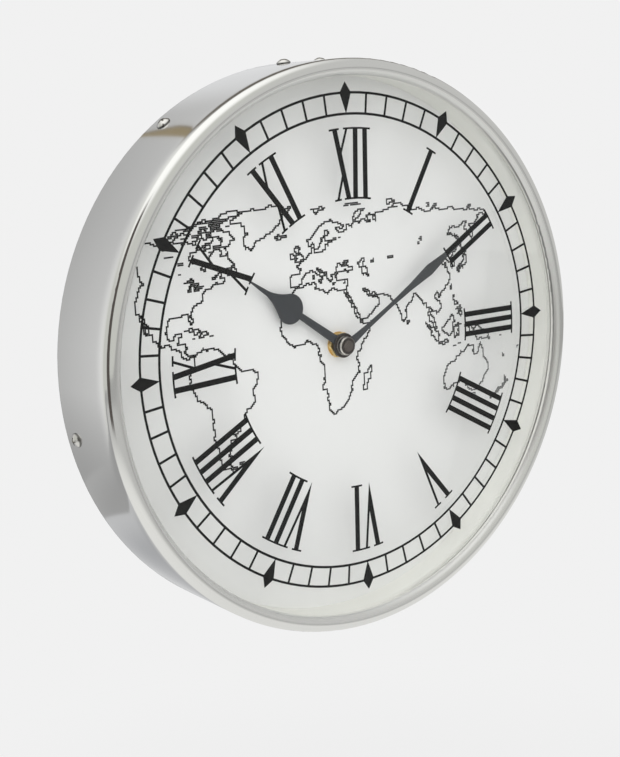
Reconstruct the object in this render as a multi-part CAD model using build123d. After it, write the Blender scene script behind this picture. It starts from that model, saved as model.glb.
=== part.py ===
from build123d import *
import os
from math import cos, pi, radians, sin, sqrt, tau

# Round wall clock with a world-map dial, in millimetres.
# The clock faces -Y with +Z up. The origin is the centre of the case's rear rim, which meets the wall.

# Case: a spun drum that ends in a half-round rolled lip
case_diameter = 304.8
case_wall = 1.0
lip_width = 8.7
rear_recess = 4.0
ring_fit = 0.5

# Layers stacked in the drum, from the wall to the viewer
back_board_thickness = 12.0
rear_spacer_depth = 9.9
dial_board_thickness = 3.0
dial_sheet_thickness = 0.3
spacer_depth = 17.2
glass_thickness = 1.8
ink_thickness = 0.1
spacer_wall = 6.2
rear_spacer_wall = 6.2
access_diameter = 100.0

# Heights of the hands' axis and of the printed ring above the case's centre
hand_rise = 1.7
print_rise = 3.5

# Printed minute track and numerals, laid out inwards from the spacer's wall
print_margin = 4.0
diamond_reach = 5.6
diamond_half_width = 3.65
track_width = 10.7
track_line = 1.3
numeral_gap = 6.9
numeral_height = 37.0
thick_stroke = 3.0
thin_stroke = 1.45
thin_joint_share = 0.38
serif_line = 1.0
serif_reach = 3.6
serif_inner_reach = 2.8
thin_serif_reach = 2.2
thin_arm_reach = 3.0

# Letters of the numerals from XII to XI, with the places of their strokes across the numeral.
# I has its top and foot, V the tops of its thick and thin strokes and its point,
# and X the top and foot of its thick stroke, then of its thin one.
numerals = (
    (("X", -8.1, -0.7, -0.3, -7.7), ("I", 5.4, 3.6), ("I", 11.6, 10.2)),
    (("I", 0.0, 0.0),),
    (("I", -3.7, -3.6), ("I", 2.2, 2.3)),
    (("I", -4.9, -5.6), ("I", 0.6, 0.0), ("I", 6.5, 5.6)),
    (("I", -10.5, -9.8), ("I", -4.4, -4.0), ("I", 1.7, 1.8), ("I", 7.8, 7.7)),
    (("V", -4.1, 4.7, 0.0),),
    (("V", -7.8, 0.1, -3.5), ("I", 6.3, 5.0)),
    (("V", -10.6, -2.6, -4.6), ("I", 3.6, 2.0), ("I", 9.8, 8.1)),
    (("V", -11.9, -4.0, -6.4), ("I", 2.0, 0.0), ("I", 8.1, 6.1), ("I", 14.1, 12.2)),
    (("I", -6.2, -5.0), ("X", 0.6, 6.1, 8.2, -0.6)),
    (("X", -0.7, 4.8, 7.4, -1.6),),
    (("X", -3.9, 1.7, 3.2, -4.5), ("I", 9.2, 6.7)),
)

# Screws through the band, in degrees from twelve o'clock
band_screw_angles = (35, 100, 160)
hanger_screw_angle = 4.5
screw_head_diameter = 7.6
screw_head_height = 2.3
screw_head_rim = 0.4
screw_shank_diameter = 3.0
screw_point_radius = 0.3
screw_length = 18.0
screw_recess_span = 4.2
screw_recess_width = 0.9
screw_recess_depth = 1.1
screw_hole_gap = 0.25

# Hanger: a bent strip with a keyhole
hanger_width = 36.0
hanger_thickness = 1.2
hanger_foot = 11.0
hanger_drop = 36.0
hanger_corner = 6.0
keyhole_diameter = 9.0
keyhole_slot = 4.6
keyhole_travel = 11.0
keyhole_end_drop = 11.0
pocket_margin = 3.0
pocket_depth = 7.0

# Fits
run_fit = 0.05
push_fit = 0.02

# Hands: angles clockwise from twelve, half widths, places along the blade from its axis,
# and reaches from the hour hand's bulb or the minute hand's swell
minute_angle = 60.5
hour_angle = 305.9
hand_thickness = 0.5
hand_bevel = 0.15
hour_hand_length = 77.0
hour_root_half = 2.6
hour_neck_half = 1.6
hour_bulb_place = 41.3
hour_bulb_radius = 8.1
hour_shoulder_angle = 37
hour_flank_reach = 10.7
hour_flank_half = 3.2
hour_point_reach = 17.0
hour_point_half = 1.4
minute_hand_length = 112.0
minute_root_half = 2.7
minute_neck_place = 17.0
minute_neck_half = 1.45
minute_waist_place = 36.0
minute_waist_half = 1.2
minute_flare_reach = 16.6
minute_flare_half = 1.8
minute_swell_place = 69.6
minute_swell_half = 3.25
minute_shoulder_reach = 12.9
minute_shoulder_half = 1.75
minute_tip_half = 0.3
hour_hand_lift = 4.8
minute_hand_lift = 7.8
hour_hub_radius = 6.7
minute_hub_radius = 5.0
hand_hub_height = 2.0
hub_flange = 1.0
hub_bevel = 0.3
cap_radius = 3.0
cap_height = 0.7

# Shafts, nut and washers
minute_shaft_diameter = 3.5
minute_seat_diameter = 3.0
hour_tube_diameter = 5.0
thread_diameter = 8.0
thread_past_nut = 0.4
bush_collar_radius = 6.0
bush_collar_height = 1.0
nut_across_flats = 12.6
nut_height = 2.2
nut_chamfer = 0.35
washer_diameter = 14.0
washer_thickness = 0.5
rubber_diameter = 20.0
rubber_thickness = 1.0

# Movement box, measured from the hands' axis, with depth counted from its front face
movement_width = 56.0
movement_top = 26.0
movement_bottom = -30.0
movement_depth = 16.5
movement_wall = 1.5
movement_corner = 4.0
partition_top = -10.8
partition_wall = 1.6

# Battery and its contacts
battery_diameter = 14.5
battery_length = 49.5
battery_round = 0.8
battery_nub_diameter = 5.5
battery_nub_length = 1.0
contact_thickness = 0.4
contact_width = 8.0
lead_width = 2.4

# Wheel teeth
motion_module = 0.4
centre_module = 0.32
train_module = 0.3
rotor_module = 0.25
cannon_teeth = 15
motion_teeth = 45
motion_pinion_teeth = 12
hour_teeth = 48
centre_teeth = 60
third_teeth = 64
third_pinion_teeth = 8
second_teeth = 50
second_pinion_teeth = 8
step_teeth = 48
step_pinion_teeth = 10
rotor_pinion_teeth = 8
addendum = 0.85
dedendum = 1.25
tooth_share = 0.84
tip_share = 0.42

# Directions from each wheel to the next, in degrees anticlockwise from +X
motion_direction = 20
third_direction = 150
second_direction = 60
step_direction = 20
rotor_direction = -20

# Depths of the wheels inside the movement
hour_wheel_depth = 2.0
motion_wheel_depth = 3.5
centre_wheel_depth = 5.5
third_wheel_depth = 7.0
second_wheel_depth = 8.4
step_wheel_depth = 9.8
magnet_depth = 10.8
wheel_thickness = 0.7
pinion_overhang = 0.2
pivot_depth = 0.9
arbor_radius = 0.5
motion_arbor_radius = 0.75
clutch_arbor_radius = 1.0
clutch_radius = 4.5
clutch_flat = 1.0
clutch_thickness = 0.3
rivet_lip = 0.6
magnet_radius = 2.8
magnet_thickness = 1.4

# Bridge, stator, coil and circuit
bridge_depth = 13.2
bridge_thickness = 0.8
pillar_radius = 1.2
pillar_places = ((-15.0, -6.5), (15.0, -6.5), (-15.0, 22.0), (12.0, 23.2))
stator_thickness = 1.0
stator_arm = 3.6
stator_gap = 0.5
stator_ring = 1.7
coil_x = 21.8
coil_low = 4.2
coil_high = 20.2
coil_flange = 0.8
coil_flange_radius = 4.4
winding_radius = 4.0
bobbin_radius = 2.2
core_width = 2.4
core_thickness = 1.2
core_reach = 4.2
circuit_width = 9.4
circuit_low = -8.0
circuit_high = 24.0
circuit_depth = 9.5
circuit_thickness = 0.8
crystal_radius = 1.0
crystal_length = 6.0
chip_radius = 3.0
chip_height = 1.0
knob_radius = 5.0
knob_height = 2.8
knob_gap = 0.4
knob_flutes = 18
flute_radius = 0.5

# Planes of the stack along Y
back_rear = -rear_recess
back_front = back_rear - back_board_thickness
board_rear = back_front - rear_spacer_depth
board_front = board_rear - dial_board_thickness
dial_front = board_front - dial_sheet_thickness
glass_rear = dial_front - spacer_depth
glass_front = glass_rear - glass_thickness
screw_line = (back_rear + back_front) / 2
movement_front = board_rear + rubber_thickness
nut_front = dial_front - washer_thickness - nut_height
thread_front = nut_front - thread_past_nut
hour_hand_rear = dial_front - hour_hand_lift
minute_hand_rear = dial_front - minute_hand_lift

# Radii of the stack
case_radius = case_diameter / 2
case_bore = case_radius - case_wall
fit_radius = case_bore - ring_fit
lip_radius = lip_width / 2

# Radii of the print about its own centre
diamond_tip_radius = fit_radius - spacer_wall - print_rise - print_margin
track_outer_radius = diamond_tip_radius - diamond_reach
track_inner_radius = track_outer_radius - track_width
numeral_top_radius = track_inner_radius - numeral_gap
numeral_foot_radius = numeral_top_radius - numeral_height


def slab(drawing, front, rear):
    """Raise a drawing made in X and Z from the plane y=front to the plane y=rear."""
    return extrude(Plane.XZ.offset(-rear) * drawing, rear - front, dir=(0, -1, 0))


def rod(radius, front, rear, place=(0, 0)):
    return slab(Pos(*place) * Circle(radius), front, rear)


def block(x_range, z_range, front, rear):
    low = (x_range[0], z_range[0])
    size = (x_range[1] - x_range[0], z_range[1] - z_range[0])
    return slab(Pos(*low) * Rectangle(*size, align=Align.MIN), front, rear)


def turned(outline):
    """Turn an outline of (radius, y) corners about the Y axis."""
    return revolve(make_face(Polyline(outline, close=True)), Axis.Y)


def on_hand_axis(part):
    return Pos(0, 0, hand_rise) * part


def in_movement(part):
    """Set a piece, drawn with depth along Y, into the movement behind the dial."""
    return Pos(0, movement_front, hand_rise) * part


def save(name, part):
    export_step(part, f"parts/{name}.step")


def polar(centre, distance, degrees):
    turn = radians(degrees)
    return centre[0] + distance * cos(turn), centre[1] + distance * sin(turn)


# Screws: low round heads with a cross recess, set radially into the back board's edge
def band_screw():
    head_radius = screw_head_diameter / 2
    crown = screw_head_height - screw_head_rim
    ball_radius = (head_radius**2 + crown**2) / (2 * crown)
    ball = Pos(0, 0, screw_head_height - ball_radius) * Sphere(ball_radius)
    head = Pos(0, 0, screw_head_height / 2) * Cylinder(head_radius, screw_head_height) & ball
    recess = Box(screw_recess_span, screw_recess_width, 2 * screw_recess_depth)
    recess += Box(screw_recess_width, screw_recess_span, 2 * screw_recess_depth)
    shank_radius = screw_shank_diameter / 2
    straight = screw_length - screw_shank_diameter
    shank = Pos(0, 0, -straight / 2) * Cylinder(shank_radius, straight)
    point = Cone(screw_point_radius, shank_radius, screw_shank_diameter)
    point = Pos(0, 0, -straight - shank_radius) * point
    return head - Pos(0, 0, screw_head_height) * recess + shank + point


def radial(angle, part, radius):
    """Stand a piece drawn along +Z on the band, at an angle clockwise from twelve o'clock."""
    turn = radians(angle)
    out = Vector(sin(turn), 0, cos(turn))
    return Plane(out * radius + Vector(0, screw_line, 0), x_dir=(0, 1, 0), z_dir=out) * part


def radial_holes(angles, diameter):
    drill = Cylinder(diameter / 2, 2 * screw_length)
    return [radial(angle, drill, case_radius) for angle in angles]


cover_angles = [side * angle for angle in band_screw_angles for side in (1, -1)]
hanger_angles = [hanger_screw_angle, -hanger_screw_angle]
all_angles = cover_angles + hanger_angles
free_hole = screw_shank_diameter + 2 * screw_hole_gap
pilot_hole = screw_shank_diameter + 2 * push_fit


# Case shell, glass and the layers behind it
def case_shell():
    lip_centre = case_radius - lip_radius
    opening = case_radius - lip_width
    outer_crest = (lip_centre, glass_front - lip_radius)
    inner_crest = (lip_centre, glass_front - lip_radius + case_wall)
    outer_foot, inner_foot = (case_radius, glass_front), (case_bore, glass_front)
    outer_edge, inner_edge = (opening, glass_front), (opening + case_wall, glass_front)
    outline = [
        Line((case_radius, 0), outer_foot),
        ThreePointArc(outer_foot, outer_crest, outer_edge),
        Line(outer_edge, inner_edge),
        ThreePointArc(inner_edge, inner_crest, inner_foot),
        Line(inner_foot, (case_bore, 0)),
        Line((case_bore, 0), (case_radius, 0)),
    ]
    shell = revolve(make_face(Curve() + outline), Axis.Y)
    return shell - radial_holes(all_angles, free_hole)


def ring(wall, front, rear):
    return slab(Circle(fit_radius) - Circle(fit_radius - wall), front, rear)


def disc(front, rear):
    hole = Pos(0, hand_rise) * Circle(thread_diameter / 2 + push_fit)
    return slab(Circle(fit_radius) - hole, front, rear)


# Hanger strip: its foot lies under the band, its leg hangs down the back board
hanger_top = sqrt(case_bore**2 - (hanger_width / 2) ** 2) - ring_fit
keyhole_end = hanger_top - keyhole_end_drop
keyhole_entry = keyhole_end - keyhole_travel
hanger_rear = back_rear + hanger_thickness


def slot(width, low, high):
    return Pos(0, (low + high) / 2) * SlotCenterToCenter(high - low, width, rotation=90)


def hanger_bracket():
    x_range = (-hanger_width / 2, hanger_width / 2)
    foot_front = back_rear - hanger_foot
    foot = block(x_range, (hanger_top - hanger_thickness, hanger_top), foot_front, hanger_rear)
    leg = block(x_range, (hanger_top - hanger_drop, hanger_top), back_rear, hanger_rear)
    corners = leg.edges().filter_by(Axis.Y).group_by(Axis.Z)[0]
    leg = fillet(corners, hanger_corner)
    keyhole = Pos(0, keyhole_entry) * Circle(keyhole_diameter / 2)
    keyhole += slot(keyhole_slot, keyhole_entry, keyhole_end)
    bracket = foot + leg - slab(keyhole, back_rear, hanger_rear)
    return bracket - radial_holes(hanger_angles, free_hole)


def back_board():
    board = disc(back_front, back_rear)
    board -= on_hand_axis(rod(access_diameter / 2, back_front, back_rear))
    half = hanger_width / 2 + ring_fit
    board -= block((-half, half), (hanger_top - hanger_thickness, case_radius), back_front, back_rear)
    pocket_width = keyhole_diameter + 2 * pocket_margin
    pocket = slot(pocket_width, keyhole_entry, keyhole_end)
    board -= slab(pocket, back_rear - pocket_depth, back_rear)
    return board - radial_holes(all_angles, pilot_hole)


# Print on the glass: minute track with diamonds, and Roman numerals that stand with their feet inwards
top_ring = numeral_top_radius - serif_line / 2
foot_ring = numeral_foot_radius + serif_line / 2


def on_ring(x, radius):
    """The point of a circle about the print's centre that lies above x."""
    return x, sqrt(radius**2 - x**2)


def stroke(top, foot, width):
    """A slanted bar between two points, with level ends."""
    half = width / 2
    corners = [(foot[0] - half, foot[1]), (foot[0] + half, foot[1])]
    corners += [(top[0] + half, top[1]), (top[0] - half, top[1])]
    return Polygon(*corners, align=None)


def serif(low, high, radius):
    """A thin bar that follows a circle about the print's centre."""
    turns = [x / radius for x in (low, (low + high) / 2, high)]
    outer, inner = [
        [(rim * sin(turn), rim * cos(turn)) for turn in turns]
        for rim in (radius + serif_line / 2, radius - serif_line / 2)
    ]
    outline = [
        ThreePointArc(*outer),
        Line(outer[2], inner[2]),
        ThreePointArc(*reversed(inner)),
        Line(inner[0], outer[0]),
    ]
    return make_face(Curve() + outline)


def straight_letter(x_top, x_foot):
    bar_top, bar_foot = on_ring(x_top, top_ring), on_ring(x_foot, foot_ring)
    serifs = serif(x_top - serif_reach, x_top + serif_reach, top_ring)
    serifs += serif(x_foot - serif_reach, x_foot + serif_reach, foot_ring)
    return serifs + stroke(bar_top, bar_foot, thick_stroke)


def arms(thick_top, thin_top):
    thick = serif(thick_top - serif_reach, thick_top + serif_inner_reach, top_ring)
    return thick + serif(thin_top - thin_serif_reach, thin_top + thin_arm_reach, top_ring)


def pointed_letter(thick_top, thin_top, x_foot):
    """Two strokes whose outer edges run to a point and whose inner edges run beside them."""
    left_x, left_z = on_ring(thick_top - thick_stroke / 2, top_ring)
    right_x, right_z = on_ring(thin_top + thin_stroke / 2, top_ring)
    foot_x, foot_z = on_ring(x_foot, numeral_foot_radius)
    share = 1 - (thick_stroke + thin_stroke) / (right_x - left_x)
    throat = (left_x + thick_stroke + share * (foot_x - left_x), left_z + share * (foot_z - left_z))
    outline = [(left_x, left_z), (foot_x, foot_z), (right_x, right_z)]
    outline += [(right_x - thin_stroke, right_z), throat, (left_x + thick_stroke, left_z)]
    return make_face(Polyline(outline, close=True)) + arms(thick_top, thin_top)


def crossed_letter(thick_top, thick_foot, thin_top, thin_foot):
    """A thick stroke, with a thin one that meets it from above and goes on from it further down."""
    high, low = on_ring(thick_top, top_ring), on_ring(thick_foot, foot_ring)

    def along(share):
        return high[0] + share * (low[0] - high[0]), high[1] + share * (low[1] - high[1])

    drawing = stroke(high, low, thick_stroke) + arms(thick_top, thin_top)
    drawing += stroke(on_ring(thin_top, top_ring), along(thin_joint_share), thin_stroke)
    drawing += stroke(along(1 - thin_joint_share), on_ring(thin_foot, foot_ring), thin_stroke)
    drawing += serif(thick_foot - serif_inner_reach, thick_foot + serif_reach, foot_ring)
    return drawing + serif(thin_foot - thin_serif_reach, thin_foot + thin_serif_reach, foot_ring)


letters = {"I": straight_letter, "V": pointed_letter, "X": crossed_letter}


def numeral(places):
    drawing = Sketch()
    for name, *strokes in places:
        drawing += letters[name](*strokes)
    return drawing


def track():
    half = track_line / 2
    drawing = Circle(track_outer_radius + half) - Circle(track_outer_radius - half)
    drawing += Circle(track_inner_radius + half) - Circle(track_inner_radius - half)
    middle = (track_inner_radius + track_outer_radius) / 2
    tick = Pos(0, middle) * Rectangle(track_line, track_outer_radius - track_inner_radius)
    diamond = Polygon(
        (0, diamond_tip_radius),
        (diamond_half_width, track_outer_radius),
        (0, track_inner_radius),
        (-diamond_half_width, track_outer_radius),
        align=None,
    )
    marks = [Rot(0, 0, -6 * minute) * (tick if minute % 5 else diamond) for minute in range(60)]
    return drawing + marks


def glass_print():
    drawings = [track()] + [Rot(0, 0, -30 * hour) * numeral(places) for hour, places in enumerate(numerals)]
    ink_rear = glass_rear + ink_thickness
    return Part() + [slab(Pos(0, print_rise) * drawing, glass_rear, ink_rear) for drawing in drawings]


# Hands: drawn pointing up, then turned to the time they show
def mirrored(half_outline):
    """Close an outline of (half width, distance from the axis) corners over the hand's centre line."""
    other = [(-x, y) for x, y in reversed(half_outline)]
    return make_face(Polyline(half_outline + other, close=True))


def hour_blade():
    middle, tip = (0, hour_bulb_place), (0, hour_hand_length)
    shoulder = polar(middle, hour_bulb_radius, hour_shoulder_angle)
    flank = (hour_flank_half, hour_bulb_place + hour_flank_reach)
    point = (hour_point_half, hour_bulb_place + hour_point_reach)
    right = [
        Line(middle, shoulder),
        ThreePointArc(shoulder, flank, point),
        Line(point, tip),
        Line(tip, middle),
    ]
    taper = make_face(Curve() + right)
    arm = mirrored([(hour_root_half, 0), (hour_neck_half, hour_bulb_place)])
    return arm + Pos(*middle) * Circle(hour_bulb_radius) + taper + mirror(taper, Plane.YZ)


def minute_blade():
    return mirrored(
        [
            (minute_root_half, 0),
            (minute_neck_half, minute_neck_place),
            (minute_waist_half, minute_waist_place),
            (minute_flare_half, minute_swell_place - minute_flare_reach),
            (minute_swell_half, minute_swell_place),
            (minute_shoulder_half, minute_swell_place + minute_shoulder_reach),
            (minute_tip_half, minute_hand_length),
        ]
    )


def hand(blade, hub_radius, angle, rear):
    """Give a blade its eye, which the hub's flange covers, and turn it to the angle that it shows."""
    eye = Circle(hub_radius - hub_flange + push_fit)
    plate = slab(blade + Circle(hub_radius), rear - hand_thickness, rear)
    plate = chamfer(plate.edges().group_by(Axis.Y)[0], hand_bevel)
    plate -= slab(eye, rear - hand_thickness, rear)
    return on_hand_axis(Rot(0, angle, 0) * plate)


def hand_hub(radius, hole, blade_rear):
    """A turned boss that passes through its blade's eye and lies on the blade with a flange."""
    rear = blade_rear + (hand_hub_height - hand_thickness) / 2
    front = rear - hand_hub_height
    blade_front = blade_rear - hand_thickness
    spigot = radius - hub_flange
    outline = [
        (hole, rear),
        (spigot - hub_bevel, rear),
        (spigot, rear - hub_bevel),
        (spigot, blade_front),
        (radius, blade_front),
        (radius, front + hub_bevel),
        (radius - hub_bevel, front),
        (hole, front),
    ]
    return on_hand_axis(turned(outline))


hour_hole = hour_tube_diameter / 2 + push_fit
minute_hole = minute_seat_diameter / 2 + push_fit
hour_hub_front = hour_hand_rear + (hand_hub_height - hand_thickness) / 2 - hand_hub_height
minute_hub_rear = minute_hand_rear + (hand_hub_height - hand_thickness) / 2
minute_hub_front = minute_hub_rear - hand_hub_height


def minute_cap():
    cap = rod(cap_radius, minute_hub_front - cap_height, minute_hub_front)
    return on_hand_axis(fillet(cap.edges().group_by(Axis.Y)[0], cap_height / 2))


# Nut, washers and threaded bush that clamp the dial to the movement
def mounting_nut():
    nut_rear = nut_front + nut_height
    blank = slab(RegularPolygon(nut_across_flats / 2, 6, major_radius=False), nut_front, nut_rear)
    blank = chamfer(blank.edges().group_by(Axis.Y)[0], nut_chamfer)
    return on_hand_axis(blank - rod(thread_diameter / 2 + push_fit, nut_front, nut_rear))


def washer(diameter, front, thickness):
    hole = Circle(thread_diameter / 2 + push_fit)
    return on_hand_axis(slab(Circle(diameter / 2) - hole, front, front + thickness))


def threaded_bush():
    collar_rear = movement_front + movement_wall
    bush = rod(thread_diameter / 2, thread_front, collar_rear)
    bush += rod(bush_collar_radius, collar_rear - bush_collar_height, collar_rear)
    return on_hand_axis(bush - rod(hour_tube_diameter / 2 + run_fit, thread_front, collar_rear))


# Toothed wheels
def gear(teeth, module, turn=0):
    """Draw a toothed disc with a tooth centred at the given turn, in radians from +X."""
    pitch_radius = module * teeth / 2
    half_tooth = tooth_share * pi / teeth / 2
    profile = [
        (pitch_radius - dedendum * module, -half_tooth),
        (pitch_radius, -half_tooth),
        (pitch_radius + addendum * module, -half_tooth * tip_share),
        (pitch_radius + addendum * module, half_tooth * tip_share),
        (pitch_radius, half_tooth),
        (pitch_radius - dedendum * module, half_tooth),
    ]
    corners = []
    for tooth in range(teeth):
        middle = turn + tau * tooth / teeth
        corners += [(radius * cos(middle + side), radius * sin(middle + side)) for radius, side in profile]
    return make_face(Polyline(corners, close=True))


def spacing(teeth_a, teeth_b, module):
    return module * (teeth_a + teeth_b) / 2


def mesh_turn(direction, teeth):
    """Turn a wheel so that a gap faces back along the direction that its driver's tooth points in."""
    return radians(direction) + pi + pi / teeth


def toothed(teeth, module, place, front, rear, turn=0):
    return slab(Pos(*place) * gear(teeth, module, turn), front, rear)


def pinion(teeth, module, place, wheel_front, direction):
    front = wheel_front - pinion_overhang
    rear = wheel_front + wheel_thickness + pinion_overhang
    return toothed(teeth, module, place, front, rear, radians(direction))


def wheel(teeth, module, place, front, direction):
    return toothed(teeth, module, place, front, front + wheel_thickness, mesh_turn(direction, teeth))


centre_place = (0, 0)
motion_place = polar(centre_place, spacing(cannon_teeth, motion_teeth, motion_module), motion_direction)
third_place = polar(centre_place, spacing(third_pinion_teeth, centre_teeth, centre_module), third_direction)
second_place = polar(third_place, spacing(second_pinion_teeth, third_teeth, train_module), second_direction)
step_place = polar(second_place, spacing(step_pinion_teeth, second_teeth, train_module), step_direction)
rotor_place = polar(step_place, spacing(rotor_pinion_teeth, step_teeth, rotor_module), rotor_direction)
bridge_rear = bridge_depth + bridge_thickness
pivot_rear = bridge_rear - push_fit
cover_front = movement_depth - movement_wall
knob_front = movement_depth + knob_gap


def arbor(place, radius=arbor_radius, rear=pivot_rear):
    return rod(radius, pivot_depth, rear, place)


def minute_arbor():
    pitch_front = motion_wheel_depth - pinion_overhang
    pitch_rear = motion_wheel_depth + wheel_thickness + pinion_overhang
    wheel_rear = centre_wheel_depth + wheel_thickness
    shoulder = minute_hub_rear - movement_front
    tip = minute_hub_front - movement_front
    part = rod(minute_shaft_diameter / 2, shoulder, pitch_front)
    part += rod(minute_seat_diameter / 2, tip, shoulder)
    turn = radians(motion_direction)
    part += toothed(cannon_teeth, motion_module, centre_place, pitch_front, pitch_rear, turn)
    rivet_front = wheel_rear + run_fit
    part += rod(clutch_arbor_radius, pitch_rear, rivet_front)
    part += rod(clutch_arbor_radius + rivet_lip, rivet_front, rivet_front + clutch_thickness)
    return part + rod(arbor_radius, rivet_front, pivot_rear)


def clutch_spring():
    front = motion_wheel_depth + wheel_thickness + pinion_overhang
    rear = centre_wheel_depth - run_fit
    hole = clutch_arbor_radius + push_fit
    bend = clutch_arbor_radius + clutch_flat
    return turned(
        [
            (hole, front),
            (bend, front),
            (clutch_radius, rear - clutch_thickness),
            (clutch_radius, rear),
            (bend, front + clutch_thickness),
            (hole, front + clutch_thickness),
        ]
    )


def hour_wheel():
    tube_front = hour_hub_front - movement_front
    rear = hour_wheel_depth + wheel_thickness
    part = rod(hour_tube_diameter / 2, tube_front, rear)
    part += wheel(hour_teeth, motion_module, centre_place, hour_wheel_depth, motion_direction + 180)
    return part - rod(minute_shaft_diameter / 2 + run_fit, tube_front, rear)


def motion_wheel():
    part = arbor(motion_place, motion_arbor_radius, knob_front + knob_height)
    part += pinion(motion_pinion_teeth, motion_module, motion_place, hour_wheel_depth, motion_direction + 180)
    return part + wheel(motion_teeth, motion_module, motion_place, motion_wheel_depth, motion_direction)


def set_knob():
    knob = rod(knob_radius, knob_front, knob_front + knob_height, motion_place)
    flutes = [polar(motion_place, knob_radius, 360 * count / knob_flutes) for count in range(knob_flutes)]
    knob -= [rod(flute_radius, knob_front, knob_front + knob_height, place) for place in flutes]
    return knob - rod(motion_arbor_radius + push_fit, knob_front, knob_front + knob_height, motion_place)


def centre_wheel():
    part = wheel(centre_teeth, centre_module, centre_place, centre_wheel_depth, third_direction + 180)
    return part - rod(clutch_arbor_radius + run_fit, centre_wheel_depth, centre_wheel_depth + wheel_thickness)


def third_wheel():
    part = arbor(third_place)
    part += pinion(third_pinion_teeth, centre_module, third_place, centre_wheel_depth, third_direction + 180)
    return part + wheel(third_teeth, train_module, third_place, third_wheel_depth, second_direction + 180)


def second_wheel():
    part = arbor(second_place)
    part += pinion(second_pinion_teeth, train_module, second_place, third_wheel_depth, second_direction + 180)
    return part + wheel(second_teeth, train_module, second_place, second_wheel_depth, step_direction + 180)


def step_wheel():
    part = arbor(step_place)
    part += pinion(step_pinion_teeth, train_module, step_place, second_wheel_depth, step_direction + 180)
    return part + wheel(step_teeth, rotor_module, step_place, step_wheel_depth, rotor_direction + 180)


def rotor_pinion():
    return arbor(rotor_place) + pinion(
        rotor_pinion_teeth, rotor_module, rotor_place, step_wheel_depth, rotor_direction + 180
    )


def rotor_magnet():
    drawing = Pos(*rotor_place) * (Circle(magnet_radius) - Circle(arbor_radius + push_fit))
    return slab(drawing, magnet_depth, magnet_depth + magnet_thickness)


# Movement box, its cover and its bridge
half_width = movement_width / 2
inner_half = half_width - movement_wall
bay_top = partition_top - partition_wall
bay_bottom = movement_bottom + movement_wall
battery_z = (bay_top + bay_bottom) / 2
battery_depth = movement_wall + contact_thickness + battery_diameter / 2 + 2 * run_fit
stator_front = magnet_depth + (magnet_thickness - stator_thickness) / 2
core_front = stator_front - core_thickness
core_low = coil_low - core_reach
core_high = coil_high + core_reach
stator_high = core_high - stator_arm / 2
stator_low = core_low + stator_arm / 2
stator_elbow = coil_x - coil_flange_radius - stator_arm / 2
circuit_left = -inner_half + run_fit
circuit_right = circuit_left + circuit_width
circuit_middle = (circuit_left + circuit_right) / 2
lead_x = (circuit_left, circuit_left + lead_width)


def movement_outline():
    middle = (movement_top + movement_bottom) / 2
    height = movement_top - movement_bottom
    return Pos(0, middle) * RectangleRounded(movement_width, height, movement_corner)


def movement_box():
    x_range = (-inner_half, inner_half)
    lead_range = (-inner_half, lead_x[1] + run_fit)
    train_range = (partition_top, movement_top - movement_wall)
    box = slab(movement_outline(), 0, cover_front)
    box -= block(x_range, train_range, movement_wall, cover_front)
    box -= block(x_range, (bay_bottom, bay_top), movement_wall, cover_front)
    box -= block(lead_range, (bay_top, partition_top), movement_wall, cover_front)
    box += [rod(pillar_radius, movement_wall, bridge_depth, place) for place in pillar_places]
    box += rod(pillar_radius, movement_wall, stator_front, (stator_elbow, stator_high))
    box += rod(core_width / 2 - run_fit, movement_wall, core_front, (coil_x, stator_low))
    posts = [
        (circuit_middle, circuit_low + 2 * pillar_radius),
        (circuit_left + pillar_radius, circuit_high - pillar_radius),
    ]
    box += [rod(pillar_radius, movement_wall, circuit_depth, place) for place in posts]
    seats = [third_place, second_place, step_place, rotor_place]
    box -= [rod(arbor_radius + run_fit, pivot_depth, movement_wall, place) for place in seats]
    box -= rod(motion_arbor_radius + run_fit, pivot_depth, movement_wall, motion_place)
    box -= rod(bush_collar_radius + push_fit, movement_wall - bush_collar_height, movement_wall)
    return in_movement(box - rod(thread_diameter / 2 + push_fit, 0, movement_wall))


def movement_cover():
    open_bay = block((-half_width, half_width), (movement_bottom, bay_top), cover_front, movement_depth)
    cover = slab(movement_outline(), cover_front, movement_depth) - open_bay
    hole = rod(motion_arbor_radius + run_fit, cover_front, movement_depth, motion_place)
    return in_movement(cover - hole)


def train_bridge():
    xs = [place[0] for place in pillar_places]
    zs = [place[1] for place in pillar_places]
    x_range = (min(xs) - pillar_radius, max(xs) + pillar_radius)
    z_range = (min(zs) - pillar_radius, max(zs) + pillar_radius)
    bridge = block(x_range, z_range, bridge_depth, bridge_rear)
    bridge = fillet(bridge.edges().filter_by(Axis.Y), pillar_radius)
    pivots = [centre_place, third_place, second_place, step_place, rotor_place]
    bridge -= [rod(arbor_radius + run_fit, bridge_depth, bridge_rear, place) for place in pivots]
    return in_movement(bridge - rod(motion_arbor_radius + run_fit, bridge_depth, bridge_rear, motion_place))


# Stepping motor and circuit
def bar(start, end):
    """A straight drawing of the stator's arm width with round ends."""
    line = Line(start, end)
    return make_face(offset(line, stator_arm / 2, side=Side.BOTH)) + Pos(*start) * Circle(stator_arm / 2)


def stator():
    hole = magnet_radius + stator_gap
    drawing = Pos(*rotor_place) * Circle(hole + stator_ring)
    for level in (stator_low, stator_high):
        elbow = (stator_elbow, level)
        drawing += bar(rotor_place, elbow) + bar(elbow, (coil_x, level))
    drawing -= Pos(*rotor_place) * Circle(hole)
    return slab(drawing, stator_front, stator_front + stator_thickness)


def coil_core():
    half = core_width / 2
    return block((coil_x - half, coil_x + half), (core_low, core_high), core_front, stator_front)


def spool(radius, low, high):
    middle = (core_front + stator_front) / 2
    return Pos(coil_x, middle, (low + high) / 2) * Cylinder(radius, high - low)


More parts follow.
